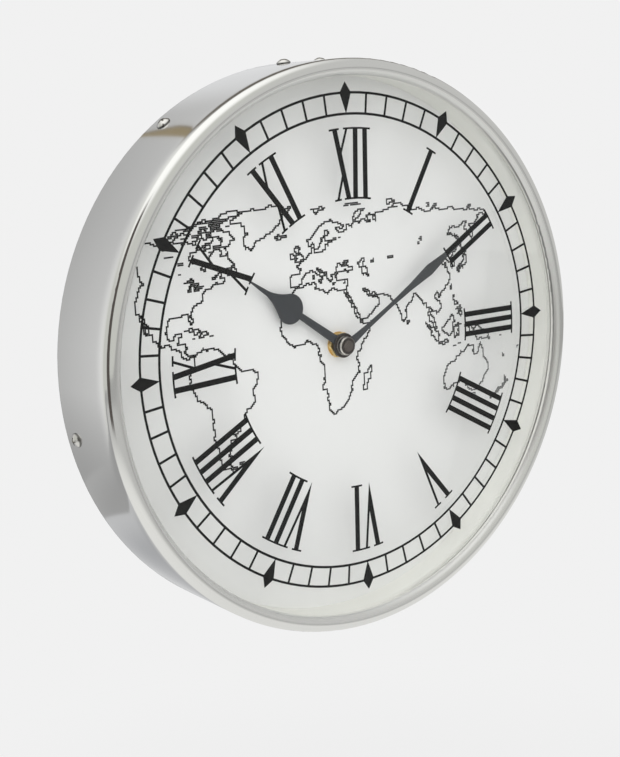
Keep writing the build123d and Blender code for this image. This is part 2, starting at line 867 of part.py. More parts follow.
def coil_bobbin():
    body = spool(bobbin_radius, coil_low, coil_high)
    body += spool(coil_flange_radius, coil_low, coil_low + coil_flange)
    body += spool(coil_flange_radius, coil_high - coil_flange, coil_high)
    half = core_width / 2 + push_fit
    x_range, z_range = (coil_x - half, coil_x + half), (core_low, core_high)
    return body - block(x_range, z_range, core_front - push_fit, stator_front + push_fit)


def coil_winding():
    low, high = coil_low + coil_flange, coil_high - coil_flange
    return spool(winding_radius, low, high) - spool(bobbin_radius, low, high)


def circuit_board():
    x_range, z_range = (circuit_left, circuit_right), (circuit_low, circuit_high)
    return block(x_range, z_range, circuit_depth, circuit_depth + circuit_thickness)


circuit_rear = circuit_depth + circuit_thickness
crystal_z = circuit_high - crystal_length
chip_z = (circuit_low + circuit_high) / 2


def quartz_crystal():
    can = Cylinder(crystal_radius, crystal_length)
    can = fillet(can.edges().group_by(Axis.Z)[-1], crystal_radius / 2)
    return Pos(circuit_middle, circuit_rear + crystal_radius, crystal_z) * can


def chip_cover():
    dome = rod(chip_radius, circuit_rear, circuit_rear + chip_height, (circuit_middle, chip_z))
    return fillet(dome.edges().group_by(Axis.Y)[-1], chip_height / 2)


# Battery and contacts in the bay below the partition
def battery():
    can = Cylinder(battery_diameter / 2, battery_length)
    can = fillet(can.edges(), battery_round)
    nub = Cylinder(battery_nub_diameter / 2, battery_nub_length)
    nub = Pos(0, 0, (battery_length + battery_nub_length) / 2) * nub
    return Pos(battery_nub_length / 2, battery_depth, battery_z) * Rot(0, -90, 0) * (can + nub)


def contact_positive():
    z_low, z_high = battery_z - contact_width / 2, battery_z + contact_width / 2
    outside = (-inner_half, -inner_half + contact_thickness)
    front, rear = battery_depth - contact_width / 2, battery_depth + contact_width / 2
    plate = block(outside, (z_low, z_high), front, rear)
    return plate + block(outside, (z_low, circuit_low), circuit_depth - lead_width, circuit_depth)


def contact_negative():
    """An end plate with a bowed leaf, and a strip along the bay's floor and up to the circuit."""
    z_range = (battery_z - contact_width / 2, battery_z + contact_width / 2)
    floor, strip_top = movement_wall, movement_wall + contact_thickness
    plate_x = (inner_half - contact_thickness, inner_half)
    part = block(plate_x, z_range, floor, battery_depth + contact_width / 2)
    leaf_reach = inner_half - contact_thickness - (battery_nub_length + battery_length) / 2 - run_fit
    leaf = (plate_x[0] - leaf_reach, plate_x[0])
    part += block(leaf, z_range, battery_depth - contact_thickness, battery_depth + contact_thickness)
    strip_x = (lead_x[0] + 2 * contact_thickness, inner_half)
    part += block(strip_x, (battery_z - lead_width / 2, battery_z + lead_width / 2), floor, strip_top)
    rise_x = (strip_x[0], lead_x[1])
    part += block(rise_x, (battery_z, circuit_low + contact_thickness), floor, strip_top)
    return part + block(rise_x, (circuit_low, circuit_low + contact_thickness), floor, circuit_depth)


cover_set = [radial(angle, band_screw(), case_radius) for angle in cover_angles]
hanger_set = [radial(angle, band_screw(), case_radius) for angle in hanger_angles]

nodes = {
    "case_shell": case_shell(),
    "glass": slab(Circle(fit_radius), glass_front, glass_rear),
    "glass_print": glass_print(),
    "spacer_ring": ring(spacer_wall, glass_rear, dial_front),
    "dial_face": disc(dial_front, board_front),
    "dial_board": disc(board_front, board_rear),
    "rear_spacer": ring(rear_spacer_wall, board_rear, back_front),
    "back_board": back_board(),
    "band_screws": Part() + cover_set,
    "hanger_screws": Part() + hanger_set,
    "hanger_bracket": hanger_bracket(),
    "hour_hand": hand(hour_blade(), hour_hub_radius, hour_angle, hour_hand_rear),
    "hour_hand_hub": hand_hub(hour_hub_radius, hour_hole, hour_hand_rear),
    "minute_hand": hand(minute_blade(), minute_hub_radius, minute_angle, minute_hand_rear),
    "minute_hand_hub": hand_hub(minute_hub_radius, minute_hole, minute_hand_rear),
    "minute_cap": minute_cap(),
    "mounting_nut": mounting_nut(),
    "mounting_washer": washer(washer_diameter, dial_front - washer_thickness, washer_thickness),
    "rubber_washer": washer(rubber_diameter, board_rear, rubber_thickness),
    "threaded_bush": threaded_bush(),
    "movement_box": movement_box(),
    "movement_cover": movement_cover(),
    "train_bridge": train_bridge(),
    "minute_arbor": in_movement(minute_arbor()),
    "clutch_spring": in_movement(clutch_spring()),
    "hour_wheel": in_movement(hour_wheel()),
    "motion_wheel": in_movement(motion_wheel()),
    "set_knob": in_movement(set_knob()),
    "centre_wheel": in_movement(centre_wheel()),
    "third_wheel": in_movement(third_wheel()),
    "second_wheel": in_movement(second_wheel()),
    "step_wheel": in_movement(step_wheel()),
    "rotor_pinion": in_movement(rotor_pinion()),
    "rotor_magnet": in_movement(rotor_magnet()),
    "stator": in_movement(stator()),
    "coil_core": in_movement(coil_core()),
    "coil_bobbin": in_movement(coil_bobbin()),
    "coil_winding": in_movement(coil_winding()),
    "circuit_board": in_movement(circuit_board()),
    "quartz_crystal": in_movement(quartz_crystal()),
    "chip_cover": in_movement(chip_cover()),
    "battery": in_movement(battery()),
    "contact_positive": in_movement(contact_positive()),
    "contact_negative": in_movement(contact_negative()),
}

os.makedirs("parts", exist_ok=True)
for node, shape in nodes.items():
    save(node, shape)
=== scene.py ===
import math
import random

import bmesh
import bpy
from bpy.props import FloatProperty, FloatVectorProperty, IntProperty, PointerProperty
from bpy.types import Operator, Panel, PropertyGroup
from mathutils import Matrix, Vector


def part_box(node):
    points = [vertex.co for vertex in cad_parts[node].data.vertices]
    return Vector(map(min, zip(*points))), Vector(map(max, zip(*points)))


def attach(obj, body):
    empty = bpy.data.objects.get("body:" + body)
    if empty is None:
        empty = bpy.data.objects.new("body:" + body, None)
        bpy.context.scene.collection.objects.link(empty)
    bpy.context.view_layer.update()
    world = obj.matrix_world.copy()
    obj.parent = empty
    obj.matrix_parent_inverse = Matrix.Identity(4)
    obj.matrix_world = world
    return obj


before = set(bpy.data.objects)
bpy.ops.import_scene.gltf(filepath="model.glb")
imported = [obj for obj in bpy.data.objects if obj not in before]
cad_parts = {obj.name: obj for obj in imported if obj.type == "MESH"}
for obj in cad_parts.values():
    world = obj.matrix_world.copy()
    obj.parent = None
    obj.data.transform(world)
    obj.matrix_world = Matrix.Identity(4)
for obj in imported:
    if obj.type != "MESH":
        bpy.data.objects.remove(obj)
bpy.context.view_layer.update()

bl_info = {
    "name": "Map dial wall clock",
    "version": (1, 0, 0),
    "blender": (4, 5, 0),
    "location": "View3D > Sidebar > Clock",
    "description": "Finishes, printed map and studio for a wall clock with a map dial",
    "category": "Object",
}

# The axis that both hands turn about, as x and z in metres.
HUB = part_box("minute_cap")
HAND_AXIS = ((HUB[0].x + HUB[1].x) / 2, (HUB[0].z + HUB[1].z) / 2)

# Radii of the bushes' rubbed rim, which also carries a painted highlight, and of the cap's edge.
HUB_RIM = 0.0048
CAP_EDGE = 0.0030

# Where the dial's sheet faces, and the bore of the wall round it.
DIAL_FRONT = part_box("dial_face")[0].y
WALL_BORE = 0.1440

# The round lip: half its width, the circle its section runs on, and where it leaves the straight band.
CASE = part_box("case_shell")
LIP_HALF = 0.00435
LIP_RING = CASE[1].x - LIP_HALF
LIP_REAR = CASE[0].y + LIP_HALF

# Half the depth of the straight band, and the middle of its wall as a radius.
BAND_HALF = 0.024
SHELL_MIDDLE = CASE[1].x - 0.0005

# Spacing of the coil's turns in metres, and waves of the circuit board's weave as radians in a metre.
WIRE_PITCH = 0.00018
WEAVE = 9000

# Grid steps between two points of a coast that may leave the straight line.
STRIDE = 2.1

# The studio: half the floor's width and depth, the soft light's place, the camera's sensor in millimetres,
# and the colour of a dark strip that the room and the floor share.
FLOOR_HALF = (3.0, 2.0)
LAMP_SPOT = Vector((-1.0, -1.1, 1.0))
SENSOR = 36.0
STRIP_COLOUR = (0.10, 0.088, 0.08)

# Coasts as longitude and latitude in degrees. Each row is a closed line.
COASTS = (
    # the two Americas
    ((-168, 65.5), (-161, 66.5), (-166, 68.3), (-156.5, 71.3), (-145, 70), (-135, 69), (-128, 70.3),
     (-120, 69.5), (-115, 68), (-108, 68), (-102, 67.8), (-96, 68), (-94, 71.8), (-90, 69), (-86, 69.5),
     (-82, 69.5), (-81.5, 67), (-86, 66), (-88, 64), (-93, 62), (-94.5, 59), (-92.5, 57), (-88, 56.5),
     (-82.5, 55.2), (-82, 53), (-79.5, 51.3), (-79, 54), (-77, 56.5), (-78.5, 58.7), (-77.5, 62.4),
     (-73.5, 62.3), (-70, 61), (-69.5, 59), (-66, 58.8), (-64.5, 60.3), (-62, 57.5), (-59, 54.8),
     (-55.7, 52.2), (-60, 50.2), (-66.5, 50.2), (-70.5, 47), (-65, 49), (-64.5, 46.3), (-61, 45.6),
     (-66, 43.5), (-66.5, 45), (-70, 43.6), (-70, 41.7), (-74, 40.5), (-75.5, 37.5), (-75.5, 35.2),
     (-78, 33.9), (-81, 32), (-81.3, 30), (-80, 26.8), (-80.4, 25.2), (-81.8, 26), (-82.8, 28), (-84, 30),
     (-86.5, 30.4), (-89.3, 29.2), (-91.5, 29.5), (-94.8, 29.4), (-97.3, 27.5), (-97.5, 25), (-97.8, 22.3),
     (-96.2, 19.2), (-94.5, 18.2), (-91.5, 18.6), (-90.5, 21), (-87, 21.5), (-87.7, 18.3), (-88.8, 15.9),
     (-85.8, 15.9), (-83.3, 15), (-83.6, 11), (-81.5, 9), (-79.5, 9.5), (-77.4, 8.7), (-75.5, 10.6),
     (-72, 12.2), (-71.5, 10.9), (-68, 11), (-64, 10.3), (-62, 10.7), (-60, 8.5), (-57, 6), (-52, 4.8),
     (-50, 1), (-48, -1), (-44, -2.5), (-40, -3), (-37, -4.8), (-35.2, -5.5), (-34.8, -8), (-37, -11.5),
     (-39, -14), (-39, -17.5), (-41, -21.5), (-43, -23), (-46, -24), (-48.5, -26.5), (-48.8, -28.5),
     (-51, -31), (-53.5, -34), (-56, -35), (-58.4, -34), (-57, -36.5), (-58, -38.3), (-62, -39),
     (-62.3, -40.8), (-65, -41), (-63.7, -42.5), (-65.5, -45), (-67.5, -46.3), (-65.8, -47.5), (-68.3, -50),
     (-69, -52), (-68, -53.5), (-65.2, -54.8), (-69, -55.5), (-72.5, -53.5), (-75, -50), (-74.5, -46.5),
     (-72.8, -42), (-73.6, -38.5), (-71.5, -33), (-71.4, -29), (-70.4, -23.5), (-70.3, -18.4), (-72.5, -17),
     (-76.2, -14), (-77.5, -11.5), (-79.5, -8), (-81.2, -6), (-80.3, -3.4), (-81, -1), (-80, 0.8),
     (-78.8, 1.8), (-77.3, 4), (-77.9, 7.2), (-79, 8.9), (-80.3, 7.4), (-82.8, 8.2), (-85.7, 10),
     (-87.5, 12.8), (-91, 13.9), (-94.5, 16.2), (-97, 15.8), (-101.5, 17.5), (-105.5, 20.3), (-106, 22.8),
     (-109.4, 25.7), (-112.3, 29), (-114.8, 31.8), (-113, 28.5), (-110.5, 24.5), (-109.6, 23),
     (-112.2, 24.8), (-114.5, 28), (-116.2, 31), (-118.5, 34), (-120.6, 34.6), (-122.5, 37.8),
     (-124.3, 40.4), (-124, 44), (-124.7, 48.3), (-122.8, 49.2), (-127.5, 51.5), (-130.5, 54.5),
     (-133.5, 57.5), (-137, 58.8), (-141, 60), (-146, 60.8), (-149, 60), (-151.8, 60.8), (-153.5, 58.8),
     (-158, 56.5), (-163, 54.8), (-160.5, 56), (-157.5, 58.7), (-162, 59), (-165.5, 61.5), (-163.5, 63.2),
     (-161, 64.5), (-166, 64.6)),
    # Europe, Asia and Africa
    ((25.7, 71.2), (31, 70.3), (41, 67.5), (40, 66.3), (33.5, 67), (35, 64.3), (38, 64), (40.5, 64.8),
     (44, 66.2), (44, 68.4), (46.5, 66.8), (54, 68.8), (60, 69.8), (67, 69), (68.5, 68.2), (67, 72.5),
     (69.5, 73), (73, 71.5), (73.5, 68), (75, 72.7), (80.5, 73.6), (87, 75), (98, 76.3), (104.3, 77.7),
     (113, 76), (113.5, 73.5), (124, 73.8), (129, 71), (140, 72.6), (152, 70.9), (160, 69.7), (170, 69),
     (176, 69.8), (180, 69), (190, 66.1), (187, 64.3), (180, 65), (177.5, 62.5), (170.3, 60), (163.5, 59.8),
     (162.8, 57.8), (163, 56), (160, 53.2), (156.7, 51), (155.7, 55), (156.8, 57.8), (163.5, 61.8),
     (160, 61.8), (155, 59.2), (148, 59.4), (142.5, 59.2), (135.5, 54.8), (140, 53.8), (141, 52),
     (140.3, 48.5), (135.5, 44), (132, 43.2), (129.8, 41.2), (127.5, 39.5), (129.4, 37), (129, 35.2),
     (126.4, 34.5), (126.7, 37.5), (125, 39.7), (121.3, 39), (121.8, 40.8), (118, 39), (119, 37.2),
     (122.5, 37), (119.5, 35), (121.8, 31.5), (121.5, 28.5), (118, 24.5), (114.2, 22.3), (110.4, 20.4),
     (108, 21.6), (105.8, 19), (108.8, 15.5), (109.3, 12), (107, 10.4), (104.8, 8.7), (104.8, 10.5),
     (102.5, 12.1), (100.6, 13.5), (99.3, 10.2), (100.3, 8.3), (102.2, 6.2), (103.5, 4), (103.9, 1.5),
     (101.3, 2.9), (100.3, 5.5), (98.3, 8), (98.7, 11.5), (97.7, 16.5), (95.3, 15.8), (94.3, 18.5), (92, 21),
     (90.5, 22.5), (88, 21.8), (86.5, 20), (82.3, 16.6), (80.2, 15.5), (80.2, 12.5), (79.8, 10.3),
     (77.5, 8.1), (76.2, 10), (74.8, 13.5), (73.3, 17), (72.7, 20.5), (70.9, 20.8), (69, 22.3), (67.3, 24.8),
     (61.6, 25.2), (57.3, 25.7), (56.4, 27.1), (52.5, 27.6), (50.2, 30), (48, 29.8), (50, 26.8),
     (51.5, 25.2), (54, 24.2), (56.3, 26.3), (56.6, 24.5), (59.8, 22.5), (57.8, 19), (55, 17), (52.2, 15.6),
     (45, 12.8), (43.4, 12.7), (42.7, 16.5), (39.2, 21.3), (37, 25), (34.9, 28), (35, 29.5), (34.3, 27.8),
     (32.5, 29.9), (34, 26.5), (36, 23.5), (37.3, 20.8), (38.6, 18), (41.2, 14.5), (43.2, 11.5),
     (44.5, 10.4), (51.2, 11.9), (50.8, 9.3), (48, 4.5), (45, 1.9), (42, -1), (39.5, -4.6), (38.9, -7),
     (40.5, -10.5), (40.7, -15), (36.9, -18), (34.8, -20.2), (35.4, -23.9), (32.8, -26), (32.5, -28.5),
     (30, -31.3), (25.8, -34), (20, -34.8), (18.3, -33.5), (17.2, -29.5), (15, -26.5), (14.4, -22.5),
     (11.8, -18), (13.5, -13), (13.3, -8.8), (12.2, -6), (9, -1), (9.6, 3.8), (8.5, 4.6), (6, 4.3),
     (4.4, 6.3), (1, 6), (-2, 4.8), (-7.5, 4.4), (-11.5, 7), (-13.3, 9), (-15, 11), (-16.7, 12.4),
     (-17.5, 14.7), (-16.3, 17), (-17, 21), (-15, 24.5), (-13, 27.7), (-9.8, 29.8), (-9.7, 31.5),
     (-7.5, 33.6), (-5.9, 35.8), (-2, 35.1), (1, 36.4), (5, 36.8), (10, 37.3), (11, 35.3), (10.1, 34),
     (12.5, 32.8), (15.3, 32.3), (19.2, 30.3), (20.1, 32.2), (23, 32.6), (25, 31.6), (29, 30.9),
     (32.2, 31.3), (34.5, 31.5), (35.8, 34), (36, 36.6), (33.5, 36.2), (30.6, 36.8), (27.3, 36.8),
     (26.3, 39.3), (29, 41), (31.5, 41.3), (35, 42), (38.5, 41), (41.5, 41.5), (39, 44.1), (37.3, 45.3),
     (39.2, 47.2), (35, 46.2), (33.6, 44.5), (31.5, 46.5), (29.7, 45.2), (28, 43), (28, 41.6), (26.2, 40.8),
     (23.7, 40.3), (22.8, 39.5), (24, 38), (23.1, 36.5), (21.7, 37), (20, 39.5), (19.5, 42), (15.5, 43.8),
     (13.6, 45.5), (12.3, 45.3), (12.4, 44.2), (14, 42.5), (16.1, 41.8), (18.4, 40), (16.9, 40.4),
     (16.6, 38.8), (15.8, 38), (15.7, 40), (12.3, 41.7), (10.4, 43), (8.8, 44.4), (6, 43.1), (3.2, 43.1),
     (3.1, 41.8), (0, 39.6), (-0.7, 37.7), (-2.1, 36.7), (-5.6, 36), (-8.9, 37), (-9.4, 38.8), (-8.8, 43.2),
     (-4, 43.5), (-1.5, 43.5), (-1.2, 46), (-4.5, 48), (-1.6, 48.7), (-1.5, 49.7), (1.6, 50.9), (4.2, 52),
     (8.5, 53.8), (8.2, 56.8), (10.5, 57.6), (10.5, 55.2), (11, 54), (14.2, 53.9), (18.6, 54.6), (21, 55.3),
     (21.4, 57.5), (24, 57.1), (23.5, 59.2), (28, 59.6), (29.8, 59.9), (25, 60.2), (21.3, 60.7), (21.5, 63),
     (25.3, 65), (24, 65.8), (21.5, 64.5), (17.3, 61.6), (18.5, 60), (16.6, 57.5), (14.3, 55.5),
     (12.8, 55.6), (11.2, 58.9), (10.4, 59.4), (8, 58.1), (5.5, 59), (5, 61.8), (9.5, 63.8), (13, 66),
     (15.5, 68.5), (20, 70)),
    # Greenland
    ((-73, 78.2), (-68, 80), (-60, 82), (-45, 82.5), (-33, 83.5), (-22, 82.3), (-12, 81.5), (-18, 80),
     (-20, 77), (-21.5, 74), (-22, 71.5), (-25, 70.5), (-30, 68.2), (-37, 65.8), (-40.5, 64.5),
     (-42.5, 61), (-44, 59.9), (-48.5, 61), (-51.5, 64), (-53.7, 67), (-51, 69.5), (-54.5, 70.8), (-56, 74),
     (-61, 76), (-68.5, 76.1), (-71, 77)),
    # islands north of Canada
    ((-62, 67), (-67, 63), (-66, 62), (-72, 64), (-78, 64.5), (-73, 66), (-73, 68), (-79, 70), (-89, 71),
     (-85, 73.8), (-80, 73.7), (-75, 72), (-68, 70.3)),
    ((-78, 76.5), (-88, 77), (-92, 80.5), (-80, 83), (-65, 82), (-75, 79)),
    ((-80, 75), (-88, 74.6), (-92, 76.5), (-84, 76.2)),
    ((-106, 69), (-117, 70), (-117, 73), (-105, 73)),
    ((-124, 72), (-120, 74.3), (-116, 73)),
    ((-91, 72.5), (-95, 72.2), (-99, 73.5), (-93, 74)),
    ((-106, 75), (-113, 75.2), (-112, 76.6), (-104, 76.4)),
    ((-96, 78), (-104, 78.4), (-101, 79.6), (-95, 79.4)),
    ((-81, 63.6), (-86.5, 64), (-84, 65.8), (-81.5, 64.8)),
    # Newfoundland and the Caribbean
    ((-59, 47.7), (-55.5, 46.9), (-53, 47.5), (-55.5, 51.4), (-57.5, 50.5)),
    ((-85, 22), (-81.5, 23.1), (-77, 21.6), (-74.2, 20.2), (-77.5, 19.9), (-78.5, 21), (-82, 22.4)),
    ((-74.3, 18.5), (-72.5, 19.9), (-69.5, 19.6), (-68.4, 18.5), (-71.5, 17.8)),
    # Iceland, Britain and Ireland
    ((-24.3, 65.5), (-22.5, 66.4), (-18, 66.1), (-14.8, 66.3), (-13.6, 65), (-18.5, 63.4), (-22.6, 63.8),
     (-22, 64.9)),
    ((-5.5, 50.1), (1.3, 51.2), (1.7, 52.7), (-0.3, 54), (-2, 55.9), (-2, 57.6), (-4, 57.7), (-3.1, 58.6),
     (-5, 58.6), (-6, 56.5), (-4.8, 54.8), (-3, 54), (-4.5, 53), (-5.2, 51.8), (-3, 51.4)),
    ((-6, 52.2), (-6, 54), (-7.5, 55.3), (-10, 54.2), (-9.5, 52)),
    # inland seas and lakes
    ((49, 46.4), (53, 46.8), (53, 45), (51, 44.5), (52.5, 42), (53.8, 39), (53.8, 37), (50.2, 37.4),
     (49.2, 39), (49.5, 40.5), (47.7, 43), (47, 44.8)),
    ((58.5, 45), (61, 46.5), (60, 44)),
    ((73.5, 45.4), (78.5, 46.6), (75, 46.4)),
    ((-92, 46.8), (-88.5, 48.6), (-84.8, 46.9), (-87.5, 46.5)),
    ((-87.5, 42), (-86.5, 45.5), (-84, 45.9), (-80.5, 45.5), (-82, 43.2), (-83.4, 44.8), (-85.5, 45),
     (-86.3, 42.5)),
    ((-83, 41.7), (-79, 42.8), (-81, 42.6)),
    ((-79.5, 43.5), (-76.5, 44), (-77.5, 43.3)),
    # Madagascar and Sri Lanka
    ((49.3, -12), (50.4, -15.7), (47.1, -25), (45, -25.5), (43.3, -22.5), (44.3, -19.8), (44.3, -16.3),
     (47.5, -14.8)),
    ((79.9, 8.5), (81.2, 8.5), (81.8, 7), (80.5, 6), (79.8, 7)),
    # the East Indies
    ((95.4, 5.5), (98.5, 3.5), (103.5, -0.8), (106, -3), (105.7, -5.8), (102.3, -4), (98.7, 1.8)),
    ((105.3, -6.5), (108.5, -6.7), (112.5, -6.9), (114.5, -8), (111, -8.3), (106.5, -7.4)),
    ((109, 1.5), (111.3, 2.5), (113, 3.2), (116.8, 7), (119, 5.2), (117.8, 2), (117.5, 0), (116, -3.8),
     (114.5, -4), (110.2, -2.8), (109, 0)),
    ((119.5, -5.5), (119, -3), (120, 1), (124.8, 1.5), (120.8, 0.4), (123.2, -0.9), (121.5, -2),
     (122.7, -5.2), (121, -3), (120.4, -5.5)),
    ((131, -0.8), (134, -0.9), (135, -3.3), (137.8, -1.5), (141, -2.6), (145, -4.2), (147.7, -6.2),
     (150.8, -10.4), (147, -9.3), (143.5, -8.8), (141, -9.1), (138.5, -8.3), (138, -5.5), (133, -4),
     (132.8, -2.8)),
    # the Philippines
    ((120.3, 16), (120.8, 18.5), (122.2, 18.4), (121.5, 15), (124, 12.8), (120.8, 13.9)),
    ((122, 7), (123.5, 8.6), (125.5, 9.8), (126.5, 7.3), (125.4, 5.7), (124, 7)),
    # Japan, Sakhalin, Taiwan and Hainan
    ((131, 34.2), (133, 35.5), (136, 35.7), (137, 37.3), (139.5, 38.5), (140, 40.5), (141.4, 41.3),
     (142, 39.6), (140.9, 37.5), (140.8, 35.7), (138.7, 34.7), (136.8, 34.3), (135.7, 33.5), (135, 34.6)),
    ((130, 33.5), (131.8, 33.2), (131.2, 31.4), (130.2, 31.3)),
    ((132.5, 33.8), (134.5, 34.2), (133.2, 32.8)),
    ((140, 42), (141.7, 45.4), (145.3, 43.7), (143.3, 42)),
    ((142, 46), (143.3, 49.3), (142.8, 54.2), (142, 52), (141.9, 48)),
    ((120.2, 23), (121.7, 25.1), (121, 22)),
    ((108.7, 19.2), (110.7, 20), (109.7, 18.3)),
    # Australia, Tasmania and New Zealand
    ((114, -22), (113.5, -25.5), (115.7, -32), (115, -34.3), (118, -35), (123.5, -33.9), (126, -32.3),
     (131, -31.5), (134.2, -32.9), (135.6, -34.8), (137.8, -33), (138.1, -35.6), (140, -37.8),
     (143.6, -38.8), (146.4, -39.1), (150, -37.5), (151.3, -33.8), (153.2, -30), (153.5, -27.5),
     (152.5, -25), (149, -21), (146.2, -19), (145.3, -15), (143.5, -13.8), (142.5, -10.8), (141.6, -13),
     (140.9, -17.4), (139, -17.3), (135.5, -15), (136.8, -12.2), (132.5, -11.5), (130.2, -13), (128.5, -15),
     (125.5, -14.2), (122.2, -17.5), (121, -19.6), (117, -20.8)),
    ((144.7, -40.8), (148.3, -40.9), (147.5, -43.3), (146, -43.4)),
    ((172.8, -34.5), (175.5, -36.7), (178.4, -37.7), (176.5, -40), (175.2, -41.5), (173.8, -39.3),
     (174.6, -37.5)),
    ((172.7, -40.6), (174.2, -41.5), (172.8, -43.7), (170.7, -45.9), (168.5, -46.6), (166.6, -45.9),
     (170, -43)),
    # northern Eurasian islands
    ((11, 79), (15, 76.7), (21, 78.3), (26, 80), (17, 80)),
    ((51.5, 71.5), (55, 73.5), (60, 76), (68.5, 76.9), (62, 75), (57.5, 71)),
    ((95, 79), (98, 81), (104, 79.2), (100, 78.4)),
    ((177.5, 71), (180, 71.5), (181.5, 71.1)),
    # Mediterranean islands
    ((12.5, 38), (15.6, 38.2), (15.1, 36.7)),
    ((8.3, 39), (9.7, 40), (9.2, 41.2), (8.2, 40.8)),
    ((23.6, 35.4), (26.2, 35.2), (24.8, 34.9)),
    ((32.4, 35), (34.4, 35.5), (33.4, 34.7)),
    # southern islands
    ((-61, -51.8), (-58, -51.5), (-59, -52.2)),
    ((164.2, -20.3), (166.9, -22.3), (165.6, -21.8)),
    ((177.4, -17.6), (178.5, -17.8), (178, -18.2)),
)

# Small lakes and islands that the print fills in: longitude, latitude, width and height in degrees.
BLOTS = (
    (-121, 66, 4, 2), (-113.5, 62, 5, 1.6), (-97.5, 52, 1, 1.4), (-101, 57.5, 2, 1.5), (105, 52.5, 2, 2),
    (107.5, 54, 2, 2), (109.5, 55.5, 1.5, 2), (171, 52.8, 3, 1), (-88, 78.4, 9, 3), (-98, 76, 6, 2),
    (-84, 70.2, 4, 2), (-79.5, 62.3, 3, 1), (-73, 75.5, 3, 1), (102, 76.2, 7, 1.4), (-64, 46.8, 3, 1),
    (-61.3, 10.5, 1, 1), (-77.3, 18.1, 2, 1), (-66.5, 18.2, 2, 1), (30.5, 61, 2, 1.5),
    (35, 61.6, 1.5, 1.5), (122.5, 11, 1.5, 2), (128, 0.5, 1, 2), (124.3, -9.3, 3, 1), (120, -10, 3, 1),
    (151.5, -5.6, 4, 1), (160, -9, 2, 1), (-172, 63.5, 2, 1), (-154, 57.5, 2, 1.5), (-94, 70, 3, 1.5),
    (-97, 69, 3, 1.2), (-75, 68.5, 3, 1.5), (-86, 67.5, 2.5, 1.2), (-109, 71, 4, 1.2),
    (-100, 71.5, 4, 1.6), (-79, 73.2, 5, 1.2), (-88, 72.8, 4, 1.2), (-84, 45.6, 4, 1.2),
    (-86.5, 43.5, 1.4, 3), (-81.2, 44.5, 3, 1.4), (-78, 43.6, 3, 0.8), (-88, 47.5, 5, 1),
    (-96, 78.3, 4, 1.4), (-104, 78.4, 4, 1.4), (-111, 75.6, 7, 1.6), (-119, 76.6, 5, 1.4),
    (-91, 79.6, 5, 1.6), (-86, 75.3, 6, 1.2), (-80, 79.4, 7, 2), (-94, 75, 3, 1.2), (50, 80.4, 7, 2.4),
    (59, 80.6, 8, 2.4), (63, 80.2, 5, 0.8), (139, 75.4, 7, 2.4), (146.5, 75, 8, 2.4), (142, 73.5, 4, 0.6),
    (35.5, 45.6, 4, 2.2), (123.5, 9.8, 2, 2), (125, 11.5, 1.5, 2),
)


def two_sided(operation, reflected=False):
    """A method that joins a wire and another value in one Math node."""

    def method(self, other):
        values = (other, self) if reflected else (self, other)
        return self.maths(operation, *values)

    return method


class Wire:
    """One output socket, on which Python arithmetic adds Math nodes."""

    def __init__(self, tree, socket):
        self.tree = tree
        self.socket = socket

    def maths(self, operation, *values):
        return self.tree.node("ShaderNodeMath", {"operation": operation}, dict(enumerate(values)))

    def __abs__(self):
        return self.maths("ABSOLUTE", self)

    def most(self, other):
        """The larger of two values."""
        return self.maths("MAXIMUM", self, other)

    def least(self, other):
        """The smaller of two values."""
        return self.maths("MINIMUM", self, other)

    def sine(self):
        return self.maths("SINE", self)

    __add__ = two_sided("ADD")
    __radd__ = two_sided("ADD", True)
    __sub__ = two_sided("SUBTRACT")
    __rsub__ = two_sided("SUBTRACT", True)
    __mul__ = two_sided("MULTIPLY")
    __rmul__ = two_sided("MULTIPLY", True)
    __truediv__ = two_sided("DIVIDE")
    __rtruediv__ = two_sided("DIVIDE", True)
    __pow__ = two_sided("POWER")
    __rpow__ = two_sided("POWER", True)


